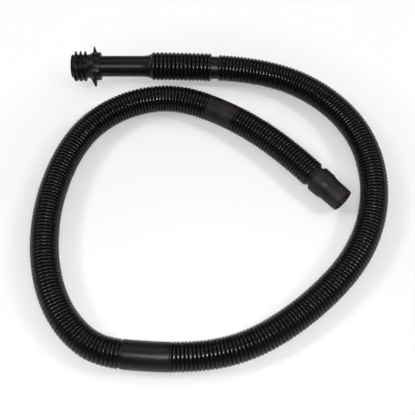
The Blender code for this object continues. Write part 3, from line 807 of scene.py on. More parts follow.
class RibTool(NodeTool):
    """Turns a line into a ribbed outer wall and a plain bore."""

    flank_power: float = 1.6
    ring_crest: float = 0.75
    ring_draw: tuple[float, float] = (0.62, 1.0)

    def __init__(self) -> None:
        """Build the tree."""
        whole = "NodeSocketInt"
        real = "NodeSocketFloat"
        super().__init__("ribbed_wall", {
            "Ribs": whole, "Steps per Rib": whole, "Shoulder Steps": whole, "Ring Steps": whole,
            "Sides": whole, "Root Radius": real, "Rib Height": real, "Crest Width": real,
            "Crest Round": real, "End Drop": real, "Bore Radius": real, "Finish": "NodeSocketMaterial",
        })
        bench = self.bench
        entry = self.entry
        line = bench.add("GeometryNodeMeshToCurve")
        bench.feed(line, "Mesh", entry["Geometry"])
        ribbed_steps = bench.sum("MULTIPLY", entry["Ribs"], entry["Steps per Rib"])
        ring_start = bench.sum("ADD", ribbed_steps, entry["Shoulder Steps"])
        last = bench.sum("ADD", ring_start, entry["Ring Steps"])
        index = bench.add("GeometryNodeInputIndex").outputs[0]
        rib = self._rib_height(index, ribbed_steps, ring_start)
        drop = self._end_drop(index, ring_start)
        radius = bench.sum("ADD", entry["Root Radius"], bench.sum("MULTIPLY", rib, entry["Rib Height"]))
        radius = bench.sum("SUBTRACT", radius, drop)
        outer = self._tube(line.outputs[0], bench.sum("ADD", last, 1.0), radius, rib)
        bore = self._tube(line.outputs[0], bench.sum("ADD", entry["Ribs"], 1.0), entry["Bore Radius"], 0.0)
        flip = bench.add("GeometryNodeFlipFaces")
        bench.feed(flip, 0, bore)
        both = bench.add("GeometryNodeJoinGeometry")
        bench.feed(both, 0, outer)
        bench.feed(both, 0, flip.outputs[0])
        self.close(both.outputs[0])

    def _rib_height(self, index: bpy.types.NodeSocket, ribbed_steps: bpy.types.NodeSocket,
                    ring_start: bpy.types.NodeSocket) -> bpy.types.NodeSocket:
        """Share of the rib height at each step along the line.

        Args:
            index: Step along the line.
            ribbed_steps: Steps on all the ribs.
            ring_start: Step at which the plain end ring starts.

        Returns:
            The socket with the share.
        """
        bench = self.bench
        entry = self.entry
        past = bench.sum("SUBTRACT", index, entry["Shoulder Steps"])
        phase = bench.sum("DIVIDE", bench.between(past, 0.0, ribbed_steps), entry["Steps per Rib"])
        rib = self._crown(bench.sum("FRACT", phase), entry["Crest Width"])
        ring = self._crown(self._ring_share(index, ring_start), self.ring_crest)
        return bench.sum("MAXIMUM", rib, ring)

    def _crown(self, share: bpy.types.NodeSocket, width: Number) -> bpy.types.NodeSocket:
        """Hump with straight flanks and a gently rounded crest.

        Args:
            share: Share of the hump passed.
            width: Share of the hump's width that the crest takes.

        Returns:
            The socket with the hump's height, one at its middle.
        """
        bench = self.bench
        round_share = self.entry["Crest Round"]
        lean = bench.sum("ABSOLUTE", bench.sum("SUBTRACT", bench.sum("MULTIPLY", share, 2.0), 1.0))
        crest = bench.sum("MULTIPLY", round_share, bench.sum("POWER", lean, 2.0))
        past = bench.sum("DIVIDE", bench.sum("SUBTRACT", lean, width), bench.sum("SUBTRACT", 1.0, width))
        flank = bench.sum("POWER", bench.between(past, 0.0, 1.0), self.flank_power)
        flank = bench.sum("MULTIPLY", bench.sum("SUBTRACT", 1.0, round_share), flank)
        return bench.sum("SUBTRACT", 1.0, bench.sum("ADD", crest, flank))

    def _ring_share(self, index: bpy.types.NodeSocket,
                    ring_start: bpy.types.NodeSocket) -> bpy.types.NodeSocket:
        """Share of the plain end ring passed at each step.

        Args:
            index: Step along the line.
            ring_start: Step at which the ring starts.

        Returns:
            The socket with the share.
        """
        bench = self.bench
        past = bench.between(bench.sum("SUBTRACT", index, ring_start), 0.0, self.entry["Ring Steps"])
        return bench.sum("DIVIDE", past, bench.sum("MAXIMUM", self.entry["Ring Steps"], 1.0))

    def _end_drop(self, index: bpy.types.NodeSocket,
                  ring_start: bpy.types.NodeSocket) -> bpy.types.NodeSocket:
        """How far the shoulder and the end ring draw in towards the ends.

        Args:
            index: Step along the line.
            ring_start: Step at which the end ring starts.

        Returns:
            The socket with the drop.
        """
        bench = self.bench
        steps = self.entry["Shoulder Steps"]
        passed = bench.sum("DIVIDE", index, bench.sum("MAXIMUM", steps, 1.0))
        shoulder = bench.between(bench.sum("SUBTRACT", bench.sum("MINIMUM", steps, 1.0), passed), 0.0, 1.0)
        ring = bench.spread(self._ring_share(index, ring_start), self.ring_draw, FULL_SPAN)
        return bench.sum("MULTIPLY", self.entry["End Drop"], bench.sum("ADD", shoulder, ring))

    def _tube(self, line: bpy.types.NodeSocket, count: bpy.types.NodeSocket, radius: Number,
              rib: Number) -> bpy.types.NodeSocket:
        """Open tube along the line.

        Args:
            line: Socket with the line.
            count: Points along it.
            radius: Radius at each point.
            rib: Share of the rib height at each point, kept for the finish.

        Returns:
            The socket with the tube.
        """
        bench = self.bench
        even = bench.add("GeometryNodeResampleCurve")
        bench.feed(even, "Curve", line)
        bench.feed(even, "Count", count)
        level = bench.add("GeometryNodeSetCurveNormal", mode="Z_UP")
        bench.feed(level, "Curve", even.outputs[0])
        kept = bench.add("GeometryNodeStoreNamedAttribute", data_type="FLOAT", domain="POINT")
        bench.feed(kept, "Geometry", level.outputs[0])
        bench.feed(kept, "Name", "rib")
        bench.feed(kept, "Value", rib)
        section = bench.add("GeometryNodeCurvePrimitiveCircle")
        bench.feed(section, "Resolution", self.entry["Sides"])
        bench.feed(section, "Radius", 1.0)
        tube = bench.add("GeometryNodeCurveToMesh")
        bench.feed(tube, "Curve", kept.outputs[0])
        bench.feed(tube, "Profile Curve", section.outputs[0])
        bench.feed(tube, "Scale", radius)
        return tube.outputs[0]


class ThreadTool(NodeTool):
    """Winds a coarse thread ridge that runs out at both ends."""

    corner_steps: int = 3
    tip_size: float = 0.05

    def __init__(self) -> None:
        """Build the tree."""
        real = "NodeSocketFloat"
        super().__init__("coarse_thread", {
            "Turns": real, "Pitch": real, "Foot Radius": real, "Height": real, "Base Width": real,
            "Crest Width": real, "Crest Rounding": real, "Run-out": real,
            "Steps per Turn": "NodeSocketInt", "Finish": "NodeSocketMaterial",
        })
        bench = self.bench
        entry = self.entry
        helix = bench.add("GeometryNodeCurveSpiral")
        bench.feed(helix, "Resolution", entry["Steps per Turn"])
        bench.feed(helix, "Rotations", entry["Turns"])
        bench.feed(helix, "Start Radius", entry["Foot Radius"])
        bench.feed(helix, "End Radius", entry["Foot Radius"])
        bench.feed(helix, "Height", bench.sum("MULTIPLY", entry["Turns"], entry["Pitch"]))
        bench.feed(helix, "Reverse", True)
        level = bench.add("GeometryNodeSetCurveNormal", mode="Z_UP")
        bench.feed(level, "Curve", helix.outputs[0])
        ridge = bench.add("GeometryNodeCurveToMesh")
        bench.feed(ridge, "Curve", level.outputs[0])
        bench.feed(ridge, "Profile Curve", self._section())
        bench.feed(ridge, "Scale", self._run_out())
        bench.feed(ridge, "Fill Caps", True)
        self.close(ridge.outputs[0])

    def _section(self) -> bpy.types.NodeSocket:
        """Section of the ridge, standing outwards on its foot.

        Returns:
            The socket with the section's curve.
        """
        bench = self.bench
        entry = self.entry
        section = bench.add("GeometryNodeCurvePrimitiveQuadrilateral", mode="TRAPEZOID")
        bench.feed(section, "Height", entry["Height"])
        bench.feed(section, "Bottom Width", entry["Base Width"])
        bench.feed(section, "Top Width", entry["Crest Width"])
        bench.feed(section, "Offset", 0.0)
        corner = bench.add("GeometryNodeFilletCurve", mode="POLY")
        bench.feed(corner, "Curve", section.outputs[0])
        bench.feed(corner, "Count", self.corner_steps)
        bench.feed(corner, "Radius", entry["Crest Rounding"])
        lift = bench.add("ShaderNodeCombineXYZ")
        bench.feed(lift, "X", bench.sum("MULTIPLY", entry["Height"], 0.5))
        stand = bench.add("GeometryNodeTransform")
        bench.feed(stand, "Geometry", corner.outputs[0])
        bench.feed(stand, "Translation", lift.outputs[0])
        bench.feed(stand, "Rotation", (0.0, 0.0, -QUARTER_TURN))
        return stand.outputs[0]

    def _run_out(self) -> bpy.types.NodeSocket:
        """Size of the section along the ridge, drawn in at both ends.

        Returns:
            The socket with the size.
        """
        bench = self.bench
        way = bench.add("GeometryNodeSplineParameter").outputs["Factor"]
        nearest = bench.sum("MINIMUM", way, bench.sum("SUBTRACT", 1.0, way))
        node = bench.add("ShaderNodeMapRange", interpolation_type="SMOOTHSTEP", clamp=True)
        for place, value in enumerate((nearest, 0.0, self.entry["Run-out"], self.tip_size, 1.0)):
            bench.feed(node, place, value)
        return node.outputs[0]


@dataclass(frozen=True)
class HoseWall:
    """Section of a ribbed wall: its bore, the root of its ribs and their height."""

    bore: float = 0.0158
    root: float = 0.0170
    rib_height: float = 0.0020


HOSE_WALL = HoseWall()


@dataclass(frozen=True)
class Swivel:
    """Seal and lock ring that let a fitting turn on a flange."""

    seal_thickness: float = 0.0025
    seal_step: float = 0.0006
    retainer_length: float = 0.0050
    clearances: int = 4

    def chamber_depth(self, flange_thickness: float) -> float:
        """Depth of a chamber that holds the seal, the flange and the lock ring with their clearances.

        Args:
            flange_thickness: Thickness of the flange between them.

        Returns:
            The depth.
        """
        return self.seal_thickness + flange_thickness + self.retainer_length + self.clearances * FIT


SWIVEL = Swivel()


@dataclass
class RibbedLength:
    """Corrugated length of hose along a row of points."""

    name: str
    ribs: int
    finish: PlasticFinish = RIBBED_BLACK
    wall: HoseWall = HOSE_WALL
    crest_width: float = 0.36
    crest_round: float = 0.14
    shoulder_steps: int = 0
    ring_steps: int = 0
    end_drop: float = 0.0
    steps: int = 14
    sides: int = 64
    rim_reach: float = 1.4
    crease: float = math.radians(60.0)

    def build(self, tool: RibTool, points: Sequence[Vector]) -> bpy.types.Object:
        """Make the wall and close it at both ends.

        Args:
            tool: Tree that makes the ribs.
            points: Points on the axis.

        Returns:
            The piece.
        """
        line = bpy.data.meshes.new(self.name + "_line")
        line.from_pydata(points, [(i, i + 1) for i in range(len(points) - 1)], [])
        piece = tool.run(self.name, line, {
            "Ribs": self.ribs, "Steps per Rib": self.steps, "Shoulder Steps": self.shoulder_steps,
            "Ring Steps": self.ring_steps, "Sides": self.sides, "Root Radius": self.wall.root,
            "Rib Height": self.wall.rib_height, "Crest Width": self.crest_width,
            "Crest Round": self.crest_round, "End Drop": self.end_drop,
            "Bore Radius": self.wall.bore, "Finish": self.finish.material(),
        })
        self._close_ends(piece, (points[0], points[-1]))
        smooth(piece, self.crease)
        return piece

    def _close_ends(self, piece: bpy.types.Object, ends: Sequence[Vector]) -> None:
        """Join the outer wall to the bore at both ends.

        Args:
            piece: Piece with two open walls.
            ends: Points on the axis at the ends.
        """
        reach = self.rim_reach * (self.wall.root + self.wall.rib_height)
        shell = bmesh.new()
        shell.from_mesh(piece.data)
        for end in ends:
            rim = [edge for edge in shell.edges
                   if edge.is_boundary and (edge.verts[0].co - end).length < reach]
            bmesh.ops.bridge_loops(shell, edges=rim)
        bmesh.ops.recalc_face_normals(shell, faces=shell.faces)
        shell.to_mesh(piece.data)
        shell.free()


@dataclass(frozen=True)
class Lamp:
    """Soft lamp that faces the middle of the floor."""

    name: str
    place: Point
    size: tuple[float, float]
    power: float

    def build(self) -> None:
        """Hang the lamp."""
        data = bpy.data.lights.new(self.name, "AREA")
        data.shape = "RECTANGLE"
        data.size, data.size_y = self.size
        data.energy = self.power
        lamp = bpy.data.objects.new(self.name, data)
        bpy.context.scene.collection.objects.link(lamp)
        lamp.location = self.place
        lamp.rotation_euler = facing(self.place, (0.0, 0.0, 0.0))


@dataclass
class Studio:
    """Floor, soft lamps, world and the camera at the photograph's angle."""

    eye: Point = (-0.00535, -0.51430, 0.99606)
    target: Point = (-0.00535, -0.00678, 0.0)
    lens: float = 70.18
    sensor: float = 36.0
    floor_reach: float = 30.0
    floor_colour: Colour = (0.83, 0.83, 0.83)
    floor_bounce: Colour = (0.30, 0.30, 0.30)
    floor_roughness: float = 0.9
    floor_white: tuple[float, float] = (0.06, 0.96)
    floor_clear: tuple[float, float] = (0.25, 0.38)
    floor_middle: Point = (0.0, -0.05, 0.0)
    cloud_shade: float = 0.985
    cloud_scale: float = 3.0
    cloud_detail: float = 3.0
    cloud_span: tuple[float, float] = (0.3, 0.7)
    world_strength: float = 0.04
    backdrop_rise: tuple[float, float] = (0.02, 0.06)
    lamps: tuple[Lamp, ...] = (
        Lamp("front_softbox", (0.0, -0.54, 1.04), (0.18, 0.09), 9.2),
        Lamp("top_softbox", (0.0, 1.95, 3.15), (7.5, 1.8), 52.0),
        Lamp("side_softbox", (-3.0, 0.0, 2.85), (0.75, 0.75), 42.0),
        Lamp("side_softbox", (3.0, 0.0, 2.85), (0.75, 0.75), 42.0),
    )

    def build(self) -> None:
        """Make the whole studio."""
        self._add_camera()
        self._add_floor()
        self._add_world()
        for lamp in self.lamps:
            lamp.build()

    def _add_camera(self) -> None:
        """Camera that frames the hose as the photograph does."""
        data = bpy.data.cameras.new("camera")
        data.sensor_width = self.sensor
        data.lens = self.lens
        camera = bpy.data.objects.new("camera", data)
        bpy.context.scene.collection.objects.link(camera)
        camera.location = self.eye
        camera.rotation_euler = facing(self.eye, self.target)
        bpy.context.scene.camera = camera

    @staticmethod
    def _seen(bench: NodeBench) -> bpy.types.NodeSocket:
        """One where the eye, a reflection or a view through glass meets the surface.

        Args:
            bench: Tree to lay the nodes in.

        Returns:
            The socket with one or nothing.
        """
        path = bench.add("ShaderNodeLightPath").outputs
        seen = bench.sum("MAXIMUM", path["Is Camera Ray"], path["Is Glossy Ray"])
        return bench.sum("MAXIMUM", seen, path["Is Transmission Ray"])

    def _floor_material(self) -> bpy.types.Material:
        """Pale matt floor that keeps a soft shadow and clears to white away from the hose.

        Returns:
            The material.
        """
        material = bpy.data.materials.new("pale_floor")
        material.use_nodes = True
        nodes = material.node_tree.nodes
        bench = NodeBench(material.node_tree)
        matt = nodes["Principled BSDF"]
        place = bench.add("ShaderNodeTexCoord").outputs["Object"]
        seen = self._seen(bench)
        noise = bench.noise(place, self.cloud_scale, self.cloud_detail)
        cloud = bench.spread(noise, self.cloud_span, FULL_SPAN)
        shaded = tuple(self.cloud_shade * part for part in self.floor_colour)
        pale = bench.blend(cloud, shaded, self.floor_colour)
        bench.feed(matt, "Base Color", bench.blend(seen, self.floor_bounce, pale))
        bench.feed(matt, "Roughness", self.floor_roughness)
        bench.feed(matt, "Specular IOR Level", 0.0)
        white = bench.add("ShaderNodeEmission")
        bench.feed(white, "Strength", 1.0)
        distance = bench.add("ShaderNodeVectorMath", operation="DISTANCE")
        bench.feed(distance, 0, place)
        bench.feed(distance, 1, self.floor_middle)
        share = bench.spread(distance.outputs["Value"], self.floor_clear, self.floor_white)
        mixed = bench.add("ShaderNodeMixShader")
        bench.feed(mixed, 0, bench.sum("MULTIPLY", seen, share))
        bench.feed(mixed, 1, matt.outputs[0])
        bench.feed(mixed, 2, white.outputs[0])
        bench.feed(nodes["Material Output"], "Surface", mixed.outputs[0])
        return material

    def _add_floor(self) -> None:
        """Wide floor that the hose lies on."""
        mesh = bpy.data.meshes.new("floor")
        reach = self.floor_reach
        corners = [(-reach, -reach, 0.0), (reach, -reach, 0.0), (reach, reach, 0.0), (-reach, reach, 0.0)]
        mesh.from_pydata(corners, [], [(0, 1, 2, 3)])
        mesh.materials.append(self._floor_material())
        new_piece("floor", mesh)

    def _add_world(self) -> None:
        """Dim room light over a white backdrop, which reflections show up to its low top edge."""
        world = bpy.data.worlds.new("studio")
        world.use_nodes = True
        bpy.context.scene.world = world
        bench = NodeBench(world.node_tree)
        sky = world.node_tree.nodes["Background"]
        bench.feed(sky, "Color", (1.0, 1.0, 1.0, 1.0))
        direction = bench.add("ShaderNodeSeparateXYZ")
        bench.feed(direction, 0, bench.add("ShaderNodeTexCoord").outputs["Generated"])
        backdrop = bench.spread(direction.outputs["Z"], self.backdrop_rise, (1.0, 0.0))
        mirrored = bench.sum("MULTIPLY", self._seen(bench), backdrop)
        path = bench.add("ShaderNodeLightPath").outputs
        shown = bench.sum("MAXIMUM", path["Is Camera Ray"], mirrored)
        bench.feed(sky, "Strength", bench.spread(shown, FULL_SPAN, (self.world_strength, 1.0)))


@dataclass
class HoseLoop:
    """The long ribbed runs and the smooth lower cuff that lie on the floor."""

    diameter: float = 0.038
    first_length: float = 0.725
    first_ribs: int = 145
    first_upper_ribs: int = 61
    second_length: float = 0.578
    second_ribs: int = 116
    second_lower_ribs: int = 48
    lift_reach: float = 0.120
    path_step: float = 0.004
    cuff_length: float = 0.066
    cuff_radius: float = 0.01885
    cuff_slope: float = 0.0034
    cuff_ease: float = 0.0020
    bead_rise: float = 0.0008
    bead_end: float = 0.0028
    bead_ease: float = 0.0007
    groove_floor: float = 0.0033
    groove_end: float = 0.0040
    groove_depth: float = 0.0008
    groove_ease: float = 0.0006
    groove_floor_ease: float = 0.0003

    @property
    def second_start(self) -> float:
        """Distance at which the second run starts."""
        return self.first_length + self.cuff_length

    @property
    def second_end(self) -> float:
        """Distance at which the second run ends."""
        return self.second_start + self.second_length

    def build(self, tool: RibTool, route: Route) -> None:
        """Make both runs, each in two pieces, and the lower cuff.

        Args:
            tool: Tree that makes the ribs.
            route: Line that the hose follows.
        """
        split = self.first_length * self.first_upper_ribs / self.first_ribs
        upper = self._run(tool, route, "first_run_ribs_upper", (0.0, split), self.first_upper_ribs,
                          "first_run_start")
        tuple(route.place(0.0))
        tuple(route.place(self.lift_reach))
        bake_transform(upper)
        lower_ribs = self.first_ribs - self.first_upper_ribs
        lower = self._run(tool, route, "first_run_ribs_lower", (split, self.first_length), lower_ribs,
                          "first_run")
        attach(lower, Body.LOOP.value)

        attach(self._lower_cuff(route), Body.LOOP.value)

        split = self.second_start + self.second_length * self.second_lower_ribs / self.second_ribs
        lower = self._run(tool, route, "second_run_ribs_lower", (self.second_start, split),
                          self.second_lower_ribs, "second_run")
        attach(lower, Body.LOOP.value)
        upper_ribs = self.second_ribs - self.second_lower_ribs
        upper = self._run(tool, route, "second_run_ribs_upper", (split, self.second_end), upper_ribs,
                          "second_run_end")
        tuple(route.place(self.second_end - self.lift_reach))
        tuple(route.place(self.second_end))
        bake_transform(upper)

    def _run(self, tool: RibTool, route: Route, name: str, span: tuple[float, float], ribs: int,
             node: str) -> bpy.types.Object:
        """One ribbed length of hose.

        Args:
            tool: Tree that makes the ribs.
            route: Line that the hose follows.
            name: Name of the piece.
            span: Distances at which it starts and ends.
            ribs: Ribs on it.
            node: Solid that it stands for.

        Returns:
            The piece.
        """
        start, end = span
        piece = RibbedLength(name, ribs).build(tool, route.points(start, end, LINE_STEP))
        dressed(piece, RIBBED_BLACK, node)
        tuple(route.place(start))
        [tuple(spot) for spot in route.points(start, end, self.path_step)]
        return piece

    def _lower_cuff(self, route: Route) -> bpy.types.Object:
        """Smooth cuff between the runs, with a thin bead at its first end.

        Args:
            route: Line that the hose follows.

        Returns:
            The piece.
        """
        low = self.first_length
        high = self.second_start
        full = self.cuff_radius
        side = [
            (HOSE_WALL.root, low, 0.0), (full, low + self.bead_rise, self.bead_ease),
            (full, low + self.bead_end, self.groove_ease),
            (full - self.groove_depth, low + self.groove_floor, self.groove_floor_ease),
            (full, low + self.groove_end, self.groove_ease),
            (full, high - self.cuff_slope, self.cuff_ease), (HOSE_WALL.root, high, 0.0),
        ]
        piece = sleeve("lower_cuff_sleeve", route, side, HOSE_WALL.bore)
        return dressed(piece, SMOOTH_BLACK, "lower_cuff")


@dataclass
class Leader:
    """Neck, slightly bent bellows and smooth tube that lead to the coupling."""

    end: Vector
    heading: Vector
    coupling_length: float = 0.0430
    tube_length: float = 0.073
    tube_bore: float = 0.01345
    tube_wall: float = 0.0018
    tube_flare: float = 0.009
    flare_end: float = 0.001
    flare_round: float = 0.004
    flare_ease: float = 0.003
    flange_height: float = 0.0026
    flange_thickness: float = 0.0030
    neck_bore: float = 0.0150
    neck_wall: float = 0.0015
    neck_length: float = 0.011
    spigot: float = 0.010
    spigot_ease: float = 0.0008
    bore_ease: float = 0.0004
    fine_ease: float = 0.0003
    straight_grip: float = 0.002
    bellows_length: float = 0.090
    bellows_wall: float = 0.0014
    bellows_rib_height: float = 0.00225
    bellows_ribs: int = 14
    bellows_crest: float = 0.30
    bellows_drop: float = 0.0009
    bellows_steps: int = 16
    bellows_sides: int = 80
    bellows_line_steps: int = 60
    shoulder_steps: int = 6
    ring_steps: int = 13

    @property
    def tube_radius(self) -> float:
        """Outside of the tube."""
        return self.tube_bore + self.tube_wall

    @property
    def flange_radius(self) -> float:
        """Outside of the flange that the coupling turns on."""
        return self.tube_radius + self.flange_height

    @property
    def neck_radius(self) -> float:
        """Outside of the neck and of both spigots in the bellows."""
        return self.neck_bore + self.neck_wall

    @property
    def bend(self) -> Vector:
        """Point at which the leader's line and the neck's line cross."""
        return self.end - self.heading * (0.5 * self.bellows_length + self.neck_length)

    @property
    def reach(self) -> float:
        """Way from the nose to the bend."""
        return self.bellows_start + 0.5 * self.bellows_length

    @property
    def nose(self) -> Vector:
        """Centre of the coupling's mouth."""
        return self.bend - Vector((self.reach, 0.0, 0.0))

    @property
    def axis(self) -> Matrix:
        """Frame at the coupling's nose with local Z along the leader."""
        return axis_frame(self.nose, Vector((1.0, 0.0, 0.0)))

    @property
    def neck_axis(self) -> Matrix:
        """Frame with local Z along the neck, with ways counted as along the leader."""
        return axis_frame(self.bend - self.heading * self.reach, self.heading)

    @property
    def bellows_start(self) -> float:
        """Way from the nose to the bellows."""
        return self.coupling_length + self.tube_length

    @property
    def bellows_end(self) -> float:
        """Way from the nose to the neck."""
        return self.bellows_start + self.bellows_length

    def build(self, tool: RibTool) -> None:
        """Make the tube, bellows and neck.

        Args:
            tool: Tree that makes the ribs.
        """
        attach(self._tube(), Body.LEADER.value)
        bellows = self._bellows(tool)
        inset = self.spigot + self.straight_grip
        near = self.neck_axis @ Vector((0.0, 0.0, self.bellows_end - inset))
        far = self.axis @ Vector((0.0, 0.0, self.bellows_start + inset))
        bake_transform(bellows)
        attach(self._neck(), Body.NECK.value)

    def _tube(self) -> bpy.types.Object:
        """Smooth tube with its flange and flared spigot.

        Returns:
            The piece.
        """
        flange_low = self.coupling_length - SWIVEL.retainer_length - 2.0 * FIT - self.flange_thickness
        flange_high = flange_low + self.flange_thickness
        end = self.bellows_start
        flare = end - self.tube_flare
        tip = end + self.spigot
        corners = [
            (self.neck_radius, tip, self.spigot_ease),
            (self.neck_radius, end - self.flare_end, self.flare_ease),
            (self.tube_radius, flare, self.flare_round), (self.tube_radius, flange_high, self.bore_ease),
            (self.flange_radius, flange_high, self.fine_ease),
            (self.flange_radius, flange_low, self.fine_ease),
            (self.tube_bore, flange_low, self.bore_ease), (self.tube_bore, flare, self.flare_ease),
            (self.neck_bore, end, self.flare_ease), (self.neck_bore, tip, self.bore_ease),
        ]
        return dressed(turned("leader_pipe", corners, self.axis), LEADER_BLACK, "leader_tube")

    def _bellows(self, tool: RibTool) -> bpy.types.Object:
        """Bellows with a drawn-in shoulder at the tube and a plain ring at the neck.

        Args:
            tool: Tree that makes the ribs.

        Returns:
            The piece.
        """
        bore = self.neck_radius + FIT
        shape = RibbedLength(
            "leader_bellows", self.bellows_ribs, LEADER_RIBBED,
            HoseWall(bore, bore + self.bellows_wall, self.bellows_rib_height),
            crest_width=self.bellows_crest, shoulder_steps=self.shoulder_steps, ring_steps=self.ring_steps,
            end_drop=self.bellows_drop, steps=self.bellows_steps, sides=self.bellows_sides,
        )
        start = self.axis @ Vector((0.0, 0.0, self.bellows_start))
        end = self.neck_axis @ Vector((0.0, 0.0, self.bellows_end))
        piece = shape.build(tool, bent(start, self.bend, end, self.bellows_line_steps))
        return dressed(piece, LEADER_RIBBED, "leader_bellows_front", "leader_bellows_rear")

    def _neck(self) -> bpy.types.Object:
        """Smooth neck between the bellows and the first run.

        Returns:
            The piece.
        """
        low = self.bellows_end - self.spigot
        high = self.bellows_end + self.neck_length - 0.5 * FIT
        corners = [
            (self.neck_radius, high, self.fine_ease), (self.neck_radius, low, self.spigot_ease),
            (self.neck_bore, low, self.bore_ease), (self.neck_bore, high, self.fine_ease),
        ]
        return dressed(turned("neck_sleeve", corners, self.neck_axis), SMOOTH_BLACK, "hose_neck")


@dataclass(frozen=True)
class ThreadShape:
    """Coarse thread: ridges that wind side by side behind the coupling's nose."""

    length: float = 0.0215
    root: float = 0.0172
    depth: float = 0.0050
    sink: float = 0.0006
    starts: int = 2
    pitch: float = 0.0069
    turns: float = 1.25
    start: float = 0.0041
    base: float = 0.0050
    crest: float = 0.0018
    rounding: float = 0.0006
    run_out: float = 0.06
    steps: int = 90

    @property
    def angles(self) -> list[float]:
        """Angles round the nose at which the ridges start."""
        first = -math.pi * (self.turns - 1.0)
        return [first + 2.0 * math.pi * start / self.starts for start in range(self.starts)]


@dataclass(frozen=True)
class LugShape:
    """Thin lug: a plate that stands out from the collar, with a web behind it."""

    reach: float
    thickness: float
    offset: float
    web_length: float
    web_start: float
    web_thickness: float = 0.0034
    web_setback: float = 0.0008
    web_inset: float = 0.0002
    tip_width: float = 0.0040
    tip_blunt: float = 0.3
    sink: float = 0.1
    arc_steps: int = 8


@dataclass(frozen=True)
class GripRib:
    """Raised rib along the flare and the collar, which leans to one side."""

    width: float = 0.0053
    height: float = 0.0018
    angle: float = math.radians(117.0)
    lean: float = math.radians(-18.0)
    start: float = 0.3
    slope: float = 0.0020
    setback: float = 0.0011
    ease: float = 0.0003
    heel: float = 0.4
    inset: float = 0.0005
    taper: float = 0.0010


